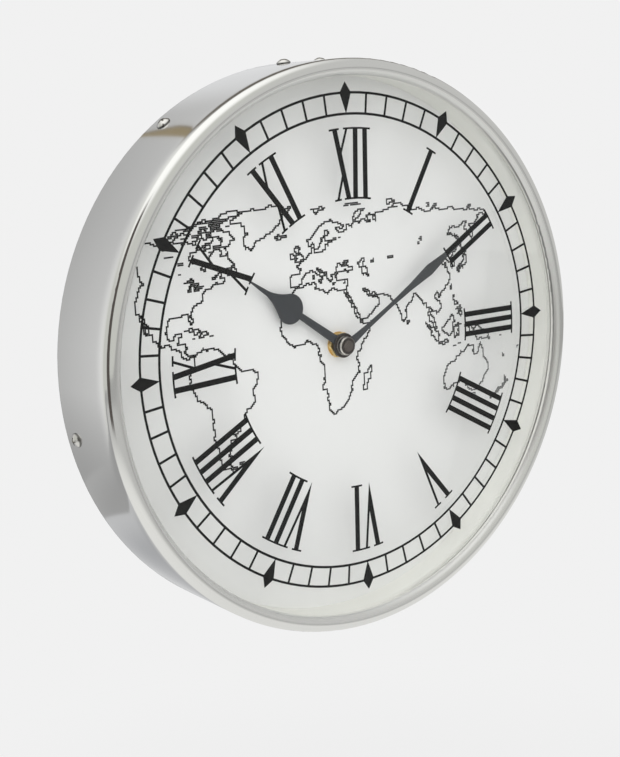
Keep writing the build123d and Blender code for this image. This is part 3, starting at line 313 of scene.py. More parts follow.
class Nodes:
    """The nodes of one material or of the world."""

    def __init__(self, owner):
        owner.use_nodes = True
        self.owner = owner
        self.tree = owner.node_tree
        self.tree.nodes.clear()

    def node(self, kind, settings=None, sockets=None, out=0):
        """Add a node, give it its settings, then the values or links of its sockets."""
        made = self.tree.nodes.new(kind)
        for name, value in (settings or {}).items():
            if name == "stops":
                self.stops(made.color_ramp, value)
            else:
                setattr(made, name, value)
        for name, value in (sockets or {}).items():
            socket = made.inputs[name]
            if isinstance(value, Wire):
                self.tree.links.new(value.socket, socket)
            elif socket.type == "RGBA":
                socket.default_value = (*value[:3], 1.0)
            else:
                socket.default_value = value
        return Wire(self, made.outputs[out]) if made.outputs else None

    def stops(self, ramp, rows):
        """Set a ramp's stops from rows of place and grey level."""
        while len(ramp.elements) < len(rows):
            ramp.elements.new(0.5)
        for stop, (place, level) in zip(ramp.elements, rows):
            stop.position = place
            stop.color = (level, level, level, 1.0)

    def place(self):
        return self.node("ShaderNodeTexCoord", out="Object")

    def split(self, vector):
        first = self.node("ShaderNodeSeparateXYZ", None, {"Vector": vector})
        return [Wire(self, socket) for socket in first.socket.node.outputs]

    def join(self, x, y, z):
        return self.node("ShaderNodeCombineXYZ", None, {"X": x, "Y": y, "Z": z})

    def noise(self, vector, scale, detail=4.0, roughness=0.55):
        sockets = {"Vector": vector, "Scale": scale, "Detail": detail, "Roughness": roughness}
        return self.node("ShaderNodeTexNoise", None, sockets)

    def grain(self, parts, stretch, detail=3.0, roughness=0.55):
        """Noise with a scale of its own along each of three coordinates."""
        scaled = self.join(*(part * scale for part, scale in zip(parts, stretch)))
        return self.noise(scaled, 1.0, detail, roughness)

    def cells(self, vector, scale, feature="F1"):
        sockets = {"Vector": vector, "Scale": scale}
        return self.node("ShaderNodeTexVoronoi", {"feature": feature}, sockets, "Distance")

    def step(self, value, low, high, start=0.0, end=1.0):
        """Ease from start to end as the value goes from low to high."""
        sockets = {"Value": value, "From Min": low, "From Max": high, "To Min": start, "To Max": end}
        return self.node("ShaderNodeMapRange", {"interpolation_type": "SMOOTHSTEP"}, sockets)

    def mix(self, factor, first, second):
        return self.node("ShaderNodeMix", {"data_type": "RGBA"}, {0: factor, 6: first, 7: second}, 2)

    def bump(self, height, strength, distance, normal=None):
        sockets = {"Height": height, "Strength": strength, "Distance": distance}
        if normal:
            sockets["Normal"] = normal
        return self.node("ShaderNodeBump", None, sockets)

    def facing(self, x, y, z):
        """A direction on the piece, of any length, as a normal."""
        unit = self.node("ShaderNodeVectorMath", {"operation": "NORMALIZE"}, {0: self.join(x, y, z)})
        settings = {"vector_type": "NORMAL", "convert_from": "OBJECT", "convert_to": "WORLD"}
        return self.node("ShaderNodeVectorTransform", settings, {"Vector": unit})

    def ring(self, place, axis=(0.0, 0.0)):
        """Distance from a fore-and-aft axis, place along it, and the angle round it."""
        x, y, z = self.split(place)
        across = x - axis[0]
        rise = z - axis[1]
        radius = (across * across + rise * rise) ** 0.5
        return radius, y, across.maths("ARCTAN2", rise, across)

    def rays(self):
        """Whether a ray is mirrored, and whether the camera sees it straight or through the glass."""
        mirrored = self.node("ShaderNodeLightPath", out="Is Glossy Ray")
        ports = mirrored.socket.node.outputs
        seen = Wire(self, ports["Is Camera Ray"])
        return mirrored, seen.most(Wire(self, ports["Is Transmission Ray"]))

    def surface(self, **sockets):
        """Finish with one Principled surface."""
        named = {name.replace("_", " ").title().replace("Ior", "IOR"): v for name, v in sockets.items()}
        shader = self.node("ShaderNodeBsdfPrincipled", None, named)
        self.node("ShaderNodeOutputMaterial", None, {"Surface": shader})
        return self.owner


def finish(name):
    """Start a material's nodes with its Object coordinates."""
    n = Nodes(bpy.data.materials.new(name))
    return n, n.place()


def shade(colour, factor):
    """The colour made lighter or darker."""
    return tuple(min(1.0, part * factor) for part in colour)


def dress(material, *names):
    """Put a finish on the frame's own pieces."""
    for name in names:
        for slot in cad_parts[name].material_slots:
            slot.material = material


def polished_case(looks):
    """Spun and plated steel: a mirror with faint lines and a little haze, a thin gasket in the lip coloured
    as the wall in painted shade, and a painted shade line at the lip's seat.
    """
    n, place = finish("polished_case")
    radius, depth, turn = n.ring(place)
    lines = n.grain((radius, depth, turn), (2600, 2600, 1.5))
    haze = n.noise(place, 22.0, 3.0)
    marks = n.step(n.noise(place, 160.0, 5.0, 0.7), 0.62, 0.78)
    tone = n.mix(haze, shade(looks.chrome, 0.97), looks.chrome)
    rough = looks.chrome_haze + lines * 0.035 + marks * 0.06 + haze * 0.03
    # Slope of the band: a slight bow over its depth, and a turn into the lip at its front
    along = (depth / BAND_HALF + 1.0).most(-1.0)
    turned = (looks.roll_start - depth) / (looks.roll_start - LIP_REAR)
    turned = turned.most(0.0).least(1.0)
    lean = along * (looks.bow / (BAND_HALF / 2)) - turned * turned * looks.roll_turn
    # Exact normal of the round lip, the band and the flat rear rim
    inside = n.step(radius, SHELL_MIDDLE - 0.0002, SHELL_MIDDLE + 0.0002, -1.0, 1.0)
    out = radius - LIP_RING
    ahead = depth - LIP_REAR
    band = n.step(ahead, -0.0001, 0.0001)
    wide = out * (band * (inside - 1.0) + 1.0)
    ahead = ahead.least(0.0) + out.most(0.0) * lean
    x, _, z = n.split(place)
    rim = n.step(depth, -0.0002, -0.0001)
    wide = wide * (1.0 - rim) / radius
    smooth = n.facing(x * wide, ahead * (1.0 - rim) + rim, z * wide)
    # The lip's inner half is brushed, and ends in a painted shade line at its seat and the gasket
    inward = out / LIP_HALF
    brushed = n.step(inward, -0.70, -0.10, 1.0, 0.0)
    # The gasket band: its colour is the wall's darkened, painted shade so that it looks like the wall in
    # shade behind the glass
    shaded_gasket = n.step(inward, -0.97, -0.93, 1.0, 0.0) * (1.0 - band)
    seat_shade = n.step(abs(inward + 0.93), 0.02, 0.07, 1.0, 0.0) * (1.0 - band)
    # Painted shade: the seat's dark line is strongest on the right of the lip and faint elsewhere
    seat_shade = seat_shade * n.step(abs(turn - 0.35), 0.25, 0.75, 0.75, 0.10)
    tone = n.mix(marks * 0.25, tone, shade(looks.chrome, 0.86))
    tone = n.mix(shaded_gasket, tone, n.mix(haze, shade(looks.wall, 0.76), shade(looks.wall, 0.70)))
    return n.surface(base_color=n.mix(seat_shade, tone, shade(looks.chrome, 0.15)), metallic=1.0 - shaded_gasket,
                     roughness=rough + brushed * 0.36 + shaded_gasket * 0.2,
                     normal=n.bump(lines * 0.0000024, 1.0, 1.0, smooth))


def clear_glass(looks):
    """Thin flat glass: it shows what is behind it, and mirrors the room a little."""
    n, place = finish("clear_glass")
    dust = n.step(n.noise(place, 60.0, 6.0, 0.7), 0.55, 0.9)
    shine = n.node("ShaderNodeBsdfPrincipled", None,
                   {"Base Color": looks.glass, "Roughness": dust * 0.05 + 0.02, "Metallic": 1.0})
    through = n.node("ShaderNodeBsdfTransparent", None, {"Color": (0.995, 0.997, 0.995)})
    edge = n.node("ShaderNodeFresnel", None, {"IOR": 1.45})
    both = n.node("ShaderNodeMixShader", None, {0: edge * 0.25 + dust * 0.002, 1: through, 2: shine})
    n.node("ShaderNodeOutputMaterial", None, {"Surface": both})
    return n.owner


def printed_ink(name, ink, wear):
    """Screen ink: a little uneven, with a dull sheen."""
    n, place = finish(name)
    grain = n.noise(place, 1800.0, 3.0)
    cover = n.noise(place, 90.0, 4.0)
    tone = n.mix(cover * wear, ink, shade(ink, 1.9))
    return n.surface(base_color=tone, roughness=grain * 0.2 + 0.45, specular_ior_level=0.15,
                     normal=n.bump(grain, 0.05, 0.0001))


def wall_plastic(looks):
    """Cream plastic strip bent into a ring, with faint lines along its length."""
    n, place = finish("wall_plastic")
    radius, depth, turn = n.ring(place)
    lines = n.grain((depth, turn, radius), (1500, 4.0, 40))
    cloud = n.noise(place, 35.0)
    tone = n.mix(cloud, looks.wall, shade(looks.wall, 0.95))
    return n.surface(base_color=tone, roughness=lines * 0.15 + 0.42, normal=n.bump(lines, 0.06, 0.0002))


def dial_paper(looks):
    """Smooth coated sheet with a fine fibre and a slight yellowing towards its edge."""
    n, place = finish("dial_paper")
    radius = n.ring(place)[0]
    fibre = n.grain(n.split(place), (1400, 1400, 420), 5.0, 0.65)
    cloud = n.noise(place, 18.0, 3.0)
    age = n.step(radius, 0.09, 0.15) * (cloud * 0.6 + 0.2)
    tone = n.mix(fibre * 0.5, looks.paper, shade(looks.paper, 0.97))
    return n.surface(base_color=n.mix(age * 0.15, tone, looks.paper_edge), roughness=fibre * 0.2 + 0.5,
                     normal=n.bump(fibre, 0.05, 0.0001))


def fibre_board(name, tone, fleck, gloss):
    """Pressed fibre board: long flecks laid at random in a mottled sheet."""
    n, place = finish(name)
    parts = n.split(place)
    long = n.grain(parts, (260, 260, 1100), 4.0, 0.7)
    wide = n.grain(parts, (1100, 260, 260), 4.0, 0.7)
    flecks = n.step(long.most(wide), 0.56, 0.72)
    cloud = n.noise(place, 40.0, 5.0, 0.6)
    ground = n.mix(cloud, shade(tone, 0.8), shade(tone, 1.12))
    return n.surface(base_color=n.mix(flecks * 0.55, ground, fleck), roughness=gloss + cloud * 0.15,
                     normal=n.bump(flecks + cloud * 0.4, 0.2, 0.0003))


def plated_screw(looks):
    """Bright plated screws, rubbed dull in places, with painted shade where the head meets the band."""
    n, place = finish("plated_screw")
    rub = n.noise(place, 700.0, 4.0, 0.65)
    stain = n.step(n.noise(place, 240.0, 3.0), 0.5, 0.7)
    tone = n.mix(stain * 0.4, looks.screw, shade(looks.screw, 0.7))
    radius = n.ring(place)[0]
    # Painted shade: a dark ring at the foot of each head, where it meets the band
    contact_shade = n.step(radius, CASE[1].x + 0.0002, CASE[1].x + 0.0010, 1.0, 0.0)
    return n.surface(base_color=n.mix(contact_shade * 0.85, tone, shade(looks.screw, 0.12)), metallic=1.0,
                     roughness=rub * 0.14 + 0.07, normal=n.bump(rub, 0.06, 0.0002))


def hanger_zinc(looks):
    """Zinc plated strip with a spangle and rolling lines."""
    n, place = finish("hanger_zinc")
    spangle = n.cells(place, 260.0)
    lines = n.grain(n.split(place), (90, 900, 2200), 4.0)
    tone = n.mix(spangle, shade(looks.zinc, 0.78), looks.zinc)
    return n.surface(base_color=tone, metallic=1.0, roughness=lines * 0.18 + 0.26,
                     normal=n.bump(lines, 0.1, 0.0002))


def hand_enamel(looks):
    """Satin charcoal enamel on stamped metal, a little uneven."""
    n, place = finish("hand_enamel")
    orange = n.noise(place, 900.0, 3.0)
    cloud = n.noise(place, 70.0, 4.0)
    tone = n.mix(cloud, shade(looks.enamel, 0.85), shade(looks.enamel, 1.2))
    return n.surface(base_color=tone, roughness=orange * 0.12 + 0.36, specular_ior_level=0.55,
                     normal=n.bump(orange, 0.06, 0.0002))


def hub_metal(looks):
    """Dark lacquered brass bush with its rim rubbed bright, and a painted highlight on the rim's left side.
    """
    n, place = finish("hub_metal")
    radius, depth, turn = n.ring(place, HAND_AXIS)
    lines = n.grain((radius, depth, turn), (5200, 800, 1.2))
    rim = n.step(abs(radius - HUB_RIM), 0.0002, 0.0006, 1.0, 0.0)
    rubbed_rim_highlight = rim * n.step(n.noise(place, 420.0, 3.0), 0.35, 0.6, 0.6, 1.0)
    # Painted highlight: the rim is bright on its left side and fades to a tenth on its right
    rubbed_rim_highlight = rubbed_rim_highlight * n.step(abs(turn), 1.4, 2.2, 0.10, 1.0)
    cap = n.step(radius, CAP_EDGE - 0.0001, CAP_EDGE + 0.0001, 1.0, 0.0)
    ground = n.mix(lines, shade(looks.hub, 0.75), shade(looks.hub, 1.3))
    tone = n.mix(cap, ground, looks.cap)
    return n.surface(base_color=n.mix(rubbed_rim_highlight, tone, looks.hub_rim_and_highlight), metallic=rubbed_rim_highlight * 0.5 + 0.45,
                     roughness=0.42 - rubbed_rim_highlight * 0.2 + lines * 0.12, normal=n.bump(lines, 0.08, 0.0002))


def turned_brass(looks):
    """Turned brass with tool lines and brown tarnish in patches."""
    n, place = finish("turned_brass")
    lines = n.grain(n.ring(place, HAND_AXIS), (4200, 4200, 1.0))
    tarnish = n.step(n.noise(place, 260.0, 5.0, 0.65), 0.45, 0.75)
    tone = n.mix(tarnish * 0.45, looks.brass, shade(looks.brass, 0.5))
    return n.surface(base_color=tone, metallic=1.0, roughness=lines * 0.16 + tarnish * 0.12 + 0.2,
                     normal=n.bump(lines, 0.1, 0.0002))


def soft_rubber(looks):
    """Matt moulded rubber with a bloom."""
    n, place = finish("soft_rubber")
    grain = n.noise(place, 1500.0, 3.0)
    bloom = n.noise(place, 160.0, 5.0, 0.65)
    tone = n.mix(bloom, looks.rubber, shade(looks.rubber, 2.2))
    return n.surface(base_color=tone, roughness=grain * 0.15 + 0.72, normal=n.bump(grain, 0.15, 0.0002))


def moulded_case(looks):
    """Black moulded plastic with a fine spark texture."""
    n, place = finish("moulded_case")
    spark = n.cells(place, 2600.0)
    flow = n.noise(place, 60.0, 4.0)
    tone = n.mix(flow, looks.moulding, shade(looks.moulding, 1.7))
    return n.surface(base_color=tone, roughness=spark * 0.18 + 0.4, normal=n.bump(spark, 0.12, 0.0002))


def wheel_plastic(looks):
    """Natural white gear plastic, a little waxy."""
    n, place = finish("wheel_plastic")
    flow = n.noise(place, 220.0, 4.0)
    grain = n.noise(place, 2400.0, 2.0)
    tone = n.mix(flow, shade(looks.wheel, 0.93), looks.wheel)
    return n.surface(base_color=tone, roughness=grain * 0.12 + 0.38, normal=n.bump(grain, 0.05, 0.0001))


def lined_metal(name, tone, dark, stretch, cloud, rough, relief):
    """Metal with fine lines and faint stains. Rough is a share of the lines, and the least roughness."""
    n, place = finish(name)
    lines = n.grain(n.split(place), stretch)
    stain = n.noise(place, cloud, 4.0)
    return n.surface(base_color=n.mix(stain, shade(tone, dark), tone), metallic=1.0,
                     roughness=lines * rough[0] + rough[1], normal=n.bump(lines, relief, 0.0001))


def sheet_metal(name, tone, rough):
    """Stamped sheet metal with fine rolling lines."""
    return lined_metal(name, tone, 0.82, (3200, 1200, 240), 320.0, (0.14, rough), 0.06)


def crystal_can(looks):
    """Drawn metal can with lines along its length."""
    return lined_metal("crystal_can", looks.can, 0.8, (200, 4200, 4200), 300.0, (0.12, 0.16), 0.05)


def magnet_grey(looks):
    """Sintered magnet: dark, fine and slightly pitted."""
    n, place = finish("magnet_grey")
    pits = n.step(n.cells(place, 5200.0), 0.1, 0.45)
    cloud = n.noise(place, 900.0, 3.0)
    tone = n.mix(pits, shade(looks.magnet, 0.6), n.mix(cloud, looks.magnet, shade(looks.magnet, 1.3)))
    return n.surface(base_color=tone, metallic=0.6, roughness=cloud * 0.2 + 0.45,
                     normal=n.bump(pits, 0.2, 0.0001))


def long_way(box):
    """The axis along which a box is longest, and the box's ends on it."""
    low, high = box
    along = max(range(3), key=lambda axis: high[axis] - low[axis])
    return along, low[along], high[along]


def copper_wire(looks):
    """Enamelled wire wound in close turns along the coil."""
    n, place = finish("copper_wire")
    along = long_way(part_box("coil_winding"))[0]
    turns = (n.split(place)[along] * (2 * math.pi / WIRE_PITCH)).sine()
    drift = n.noise(place, 420.0, 3.0)
    tone = n.mix(drift, shade(looks.copper, 0.7), looks.copper)
    return n.surface(base_color=tone, metallic=0.9, roughness=drift * 0.2 + 0.28,
                     normal=n.bump(turns, 0.35, 0.00008))


def circuit_green(looks):
    """Green solder resist over traces, which show through as paler lines."""
    n, place = finish("circuit_green")
    x, _, z = n.split(place)
    weave = (x * WEAVE).sine() * (z * WEAVE).sine()
    trace = n.step(n.cells(place, 420.0, "DISTANCE_TO_EDGE"), 0.05, 0.09, 1.0, 0.0)
    tone = n.mix(trace, looks.circuit, shade(looks.circuit, 1.9))
    return n.surface(base_color=tone, roughness=weave * 0.05 + 0.35, coat_weight=trace * 0.3,
                     normal=n.bump(trace + weave * 0.15, 0.12, 0.0001))


def battery_wrap(looks):
    """Printed sleeve in two plain colours with bare metal at both ends."""
    n, place = finish("battery_wrap")
    along, low, high = long_way(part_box("battery"))
    run = n.split(place)[along]
    middle = (low + high) / 2
    half = (high - low) / 2
    bare = n.step(abs(run - middle), half - 0.0026, half - 0.0022)
    band = n.step(run, middle + half * 0.42, middle + half * 0.43)
    scuff = n.step(n.noise(place, 380.0, 5.0, 0.7), 0.55, 0.8)
    sleeve = n.mix(band, looks.sleeve, looks.sleeve_band)
    tone = n.mix(scuff * 0.25, sleeve, shade(looks.sleeve_band, 0.8))
    return n.surface(base_color=n.mix(bare, tone, looks.zinc), metallic=bare * 0.9 + 0.1,
                     roughness=scuff * 0.2 + 0.24, normal=n.bump(scuff, 0.05, 0.0002))


def flat_place(spot, chart):
    """A longitude and latitude as across and up on the dial, in metres."""
    lon, lat = spot
    squeeze = math.cos(math.radians(lat) * chart.narrowing)
    across = chart.left + chart.across * (lon - chart.meridian) * squeeze
    up = chart.low + chart.up * lat - chart.lean * lon - chart.flatten * lat * abs(lat)
    return across, up


def wander(first, second, chart, dice):
    """Points from one place towards the next, each put a little off the straight line."""
    run = math.dist(first, second)
    parts = max(1, round(run / (chart.pitch * STRIDE)))
    gap = (second[0] - first[0], second[1] - first[1])
    ahead = [side / max(run, 1e-6) for side in gap]
    for part in range(parts):
        done = part / parts
        off = dice.uniform(-1.0, 1.0) * chart.wobble if part else 0.0
        yield first[0] + gap[0] * done - ahead[1] * off, first[1] + gap[1] * done + ahead[0] * off


def stairs(cells):
    """Walk round a loop of grid cells in straight level and upright runs, and give its corners."""
    corners = [cells[0]]
    for goal in cells[1:] + cells[:1]:
        while corners[-1] != goal:
            here = list(corners[-1])
            gap = (goal[0] - here[0], goal[1] - here[1])
            way = 0 if abs(gap[0]) >= abs(gap[1]) else 1
            reach = max(1, round(abs(gap[way]) / (abs(gap[1 - way]) + 1)))
            here[way] += int(math.copysign(reach, gap[way]))
            corners.append(tuple(here))
    return corners


def map_runs(chart):
    """Every level or upright run of the printed map, as pairs of grid corners."""
    dice = random.Random(chart.seed)
    runs = set()
    for coast in COASTS:
        spots = [flat_place(spot, chart) for spot in coast]
        cells = []
        for first, second in zip(spots, spots[1:] + spots[:1]):
            for across, up in wander(first, second, chart, dice):
                cell = (round(across / chart.pitch), round(up / chart.pitch))
                if not cells or cells[-1] != cell:
                    cells.append(cell)
        corners = stairs(cells)
        runs.update((min(pair), max(pair)) for pair in zip(corners, corners[1:]))
    for lon, lat, wide, high in BLOTS:
        left, low = flat_place((lon - wide / 2, lat - high / 2), chart)
        right, top = flat_place((lon + wide / 2, lat + high / 2), chart)
        base = round(low / chart.pitch)
        for row in range(base, max(round(top / chart.pitch), base + 1)):
            start = round(left / chart.pitch) + dice.choice((0, 0, 1))
            end = max(start + 1, round(right / chart.pitch) - dice.choice((0, 0, 1)))
            runs.add(((start, row), (end, row)))
    return sorted(runs)


def lay_map(chart):
    """Ribbons of ink on the dial, each an edge along one run that is extruded to the line's width."""
    mesh = bmesh.new()
    across = Vector((chart.line, 0.0, 0.0))
    up = Vector((0.0, 0.0, chart.line))
    reach = WALL_BORE / chart.pitch
    for start, end in map_runs(chart):
        if max(math.hypot(*start), math.hypot(*end)) > reach:
            continue
        ends = [mesh.verts.new((x * chart.pitch, DIAL_FRONT, z * chart.pitch)) for x, z in (start, end)]
        grow, nib = (across, up) if start[1] == end[1] else (up, across)
        ends[1].co += grow
        swept = bmesh.ops.extrude_edge_only(mesh, edges=[mesh.edges.new(ends)])
        moved = [part for part in swept["geom"] if isinstance(part, bmesh.types.BMVert)]
        bmesh.ops.translate(mesh, verts=moved, vec=nib)
    mesh.normal_update()
    away = [face for face in mesh.faces if face.normal.y > 0]
    bmesh.ops.reverse_faces(mesh, faces=away)
    bmesh.ops.solidify(mesh, geom=mesh.faces[:], thickness=-chart.ink_depth)
    bmesh.ops.recalc_face_normals(mesh, faces=mesh.faces[:])
    return mesh


def put(name, data):
    """Put an object that holds the data in the scene."""
    held = bpy.data.objects.new(name, data)
    bpy.context.scene.collection.objects.link(held)
    return held


def put_mesh(name, mesh, material):
    """Put a finished mesh in the scene."""
    data = bpy.data.meshes.new(name)
    mesh.to_mesh(data)
    mesh.free()
    data.materials.append(material)
    return put(name, data)


def add_piece(name, mesh, material, body):
    """Make a piece of a finished mesh, and let it ride on a body."""
    piece = put_mesh(name, mesh, material)
    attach(piece, body)


def colour(name, text, value):
    """A colour that a user may change."""
    return FloatVectorProperty(name=name, description=text, default=value, subtype="COLOR",
                               min=0.0, max=1.0)


def length(name, text, value):
    """A length in metres that a user may change."""
    return FloatProperty(name=name, description=text, default=value, unit="LENGTH", precision=5)


def share(name, text, value, top=1.0):
    """A plain number that a user may change."""
    return FloatProperty(name=name, description=text, default=value, min=0.0, max=top, subtype="FACTOR")


def angle(name, text, degrees):
    """An angle that a user may change."""
    return FloatProperty(name=name, description=text, default=math.radians(degrees), unit="ROTATION")


class ClockFinishes(PropertyGroup):
    """Colours of the clock's finishes."""

    chrome: colour("Case", "Plating of the drum and its lip", (0.80, 0.80, 0.79))
    chrome_haze: share("Case haze", "Roughness of the plating at its brightest", 0.06)
    bow: length("Case bow", "How far the band bulges between its edges", 0.00048)
    roll_start: length("Roll start", "Depth at which the band begins to turn into the lip", -0.0385)
    roll_turn: share("Roll turn", "Slope of the band where it meets the lip", 0.16)
    glass: colour("Glass", "Tint of what the glass mirrors", (0.95, 0.96, 0.96))
    ink: colour("Print", "Ink of the numerals and the minute track", (0.011, 0.011, 0.011))
    map_ink: colour("Map", "Ink of the map lines", (0.022, 0.022, 0.022))
    paper: colour("Dial", "Sheet that the map is printed on", (0.86, 0.86, 0.855))
    paper_edge: colour("Dial edge", "Sheet near its edge, where it has yellowed", (0.80, 0.80, 0.76))
    wall: colour("Inner wall", "Strip between the dial and the glass", (0.90, 0.90, 0.85))
    enamel: colour("Hands", "Enamel of both hands", (0.036, 0.039, 0.045))
    hub: colour("Hubs", "Lacquer of the hand bushes", (0.052, 0.044, 0.040))
    # Also the colour of the painted highlight on the bushes' rim
    hub_rim_and_highlight: colour("Hub rim", "Metal that shows where a bush is rubbed", (0.98, 0.94, 0.88))
    cap: colour("Cap", "Small cap at the centre", (0.105, 0.088, 0.080))
    brass: colour("Brass", "Nut, washer, bush and minute arbor", (0.86, 0.63, 0.28))
    screw: colour("Screws", "Plating of the screws", (0.72, 0.71, 0.69))
    zinc: colour("Hanger", "Zinc of the hanger and the battery ends", (0.60, 0.61, 0.62))
    board: colour("Dial board", "Board behind the dial and its spacer", (0.30, 0.23, 0.15))
    back: colour("Back board", "Pressed board that closes the case", (0.28, 0.165, 0.085))
    fleck: colour("Board fleck", "Dark fibres in the pressed boards", (0.10, 0.055, 0.028))
    rubber: colour("Rubber", "Washer and chip cover", (0.018, 0.018, 0.018))
    moulding: colour("Movement", "Box, cover and knob of the movement", (0.020, 0.020, 0.021))
    wheel: colour("Wheels", "Plastic of the train", (0.78, 0.77, 0.72))
    spring: colour("Springs", "Contacts, clutch spring, stator and core", (0.63, 0.62, 0.60))
    magnet: colour("Magnet", "Rotor magnet", (0.12, 0.12, 0.125))
    copper: colour("Coil", "Enamelled copper wire", (0.62, 0.25, 0.11))
    circuit: colour("Circuit", "Solder resist", (0.02, 0.13, 0.055))
    can: colour("Crystal", "Can of the quartz crystal", (0.72, 0.72, 0.71))
    sleeve: colour("Battery", "Longer part of the battery sleeve", (0.035, 0.06, 0.11))
    sleeve_band: colour("Battery band", "Shorter part of the battery sleeve", (0.62, 0.62, 0.60))


class ClockMap(PropertyGroup):
    """How the map lies on the dial."""

    pitch: length("Step", "Side of the square grid that the coast is drawn on", 0.00092)
    line: length("Line", "Width of a coast line", 0.00082)
    ink_depth: length("Ink depth", "How far the ink stands proud of the dial", 0.00004)
    wobble: length("Wobble", "How far a coast may leave the line between two points", 0.00105)
    left: length("Across", "Place of the middle meridian from the centre", -0.01531)
    low: length("Up", "Height of the equator from the centre", -0.00078)
    across: length("Width of a degree", "One degree of longitude at the equator", 0.0008917)
    up: length("Height of a degree", "One degree of latitude at the equator", 0.0010473)
    meridian: share("Middle meridian", "Longitude that stands upright, in degrees", 7.79, 180.0)
    narrowing: share("Narrowing", "How fast the map narrows towards the poles", 0.597)
    lean: length("Lean", "Fall of the map over one degree of longitude", 0.0000038)
    flatten: length("Flattening", "How fast the degrees of latitude shorten", 0.0000011)
    seed: IntProperty(name="Seed", description="Start of the coast's wobble", default=11, min=0)


class ClockStage(PropertyGroup):
    """Camera, floor and studio."""

    place: FloatVectorProperty(name="Camera", description="Where the camera stands", subtype="XYZ",
                               unit="LENGTH", default=(-0.4427, -0.6222, 0.1348))
    pan: angle("Pan", "Turn of the camera to the right of straight on", 35.4925)
    tilt: angle("Tilt", "Rise of the camera's line", -11.5481)
    roll: angle("Roll", "Turn of the picture", -3.1762)
    lens: FloatProperty(name="Lens", description="Focal length", default=65.88, unit="CAMERA")
    backdrop: colour("Backdrop", "Background that the camera sees", (0.879, 0.879, 0.879))
    floor: length("Floor", "Height of the floor", -0.45)
    floor_rear: length("Floor edge", "How far behind the wall side the floor ends", 0.80)
    fill: share("Fill", "Soft light from all round", 0.80, 4.0)
    key: FloatProperty(name="Key", description="Power of the soft light at upper left", default=14.0,
                       unit="POWER")
    key_size: length("Key size", "Side of the soft light", 1.5)


def studio_world(stage):
    """A pale backdrop for the camera, even light for the pieces, and a studio for what is polished."""
    world = bpy.data.worlds.new("studio")
    bpy.context.scene.world = world
    n = Nodes(world)
    x, y, z = n.split(n.node("ShaderNodeTexCoord", out="Generated"))
    # The rear wall: darker low down and straight behind, with a bright patch at its right
    fall = (0.84 - y) * 2.6 + 1.0
    rear = n.node("ShaderNodeValToRGB", {"stops": (
        (0.20, 0.36), (0.25, 0.40), (0.33, 0.54), (0.40, 0.68), (0.48, 0.70), (0.56, 0.68), (0.64, 0.645),
        (0.69, 0.62), (0.75, 0.60))}, {"Fac": z * 0.5 + 0.5})
    rear = n.node("ShaderNodeMix", {"data_type": "RGBA", "blend_type": "MULTIPLY"},
                  {0: 1.0, 6: rear, 7: n.join(fall, fall, fall)}, 2)
    bright = n.step(x, 0.22, 0.44) * n.step(z, -0.10, 0.10)
    rear = n.mix(bright * 0.9, rear, (0.775, 0.78, 0.79))
    # The front of the room
    front = n.mix(n.step(x, 0.15, 0.65), (0.665, 0.67, 0.63), (0.64, 0.64, 0.625))
    room = n.mix(n.step(y, 0.55, 0.82), front, rear)
    # A broad lamp overhead, and the dark gap between it and the rear wall
    lamp = n.step(z * 0.96 - x * 0.25 - y * 0.05, 0.55, 0.97)
    gap = (1 - lamp) * n.step(z, 0.25, 0.40) * n.step(y, 0.20, 0.40)
    gap = gap * n.step(y, 0.76, 0.80, 1.0, 0.0) * n.step(x, -0.14, 0.06)
    room = n.mix(gap, room, (0.16, 0.145, 0.125))
    room = n.mix(lamp, room, (1.25, 1.25, 1.22))
    # A brown arched beam
    off = x - 0.14 + (0.888 - y) * 1.25
    arch = off - 0.045 + (y - 0.855).most(0.0) * 1.1 + (0.855 - y).most(0.0) * 0.2
    beam = n.step(off, -0.028, -0.018) * n.step(arch, -0.005, 0.003, 1.0, 0.0)
    beam = beam * n.step(y, 0.75, 0.78) * n.step(z, 0.38, 0.41)
    room = n.mix(beam, room, n.mix(n.step(arch, -0.022, 0.0), (0.33, 0.27, 0.165), (0.19, 0.155, 0.10)))
    # A dark upright strip at the front left
    bearing = x.maths("ARCTAN2", x, y)
    strip = n.step(abs(bearing + 2.11 - z * 0.3), 0.20, 0.32, 1.0, 0.0)
    strip = strip * n.step(z, -0.60, -0.32) * n.step(z, 0.66, 0.80, 1.0, 0.0)
    room = n.mix(strip, room, STRIP_COLOUR)
    # What lights the pieces, what polished metal mirrors, and what the camera sees
    soft = n.mix(n.step(z * 0.40 - y * 0.80 - x * 0.30, -0.4, 0.9), (0.56, 0.56, 0.57), (1.26, 1.26, 1.25))
    glossy, seen = n.rays()
    plain = n.node("ShaderNodeBackground", None, {"Color": soft, "Strength": stage.fill})
    mirror = n.node("ShaderNodeBackground", None, {"Color": room, "Strength": 1.0})
    white = n.node("ShaderNodeBackground", None, {"Color": stage.backdrop, "Strength": 1.0})
    lit = n.node("ShaderNodeMixShader", None, {0: glossy, 1: plain, 2: mirror})
    shown = n.node("ShaderNodeMixShader", None, {0: seen, 1: lit, 2: white})
    n.node("ShaderNodeOutputWorld", None, {"Surface": shown})


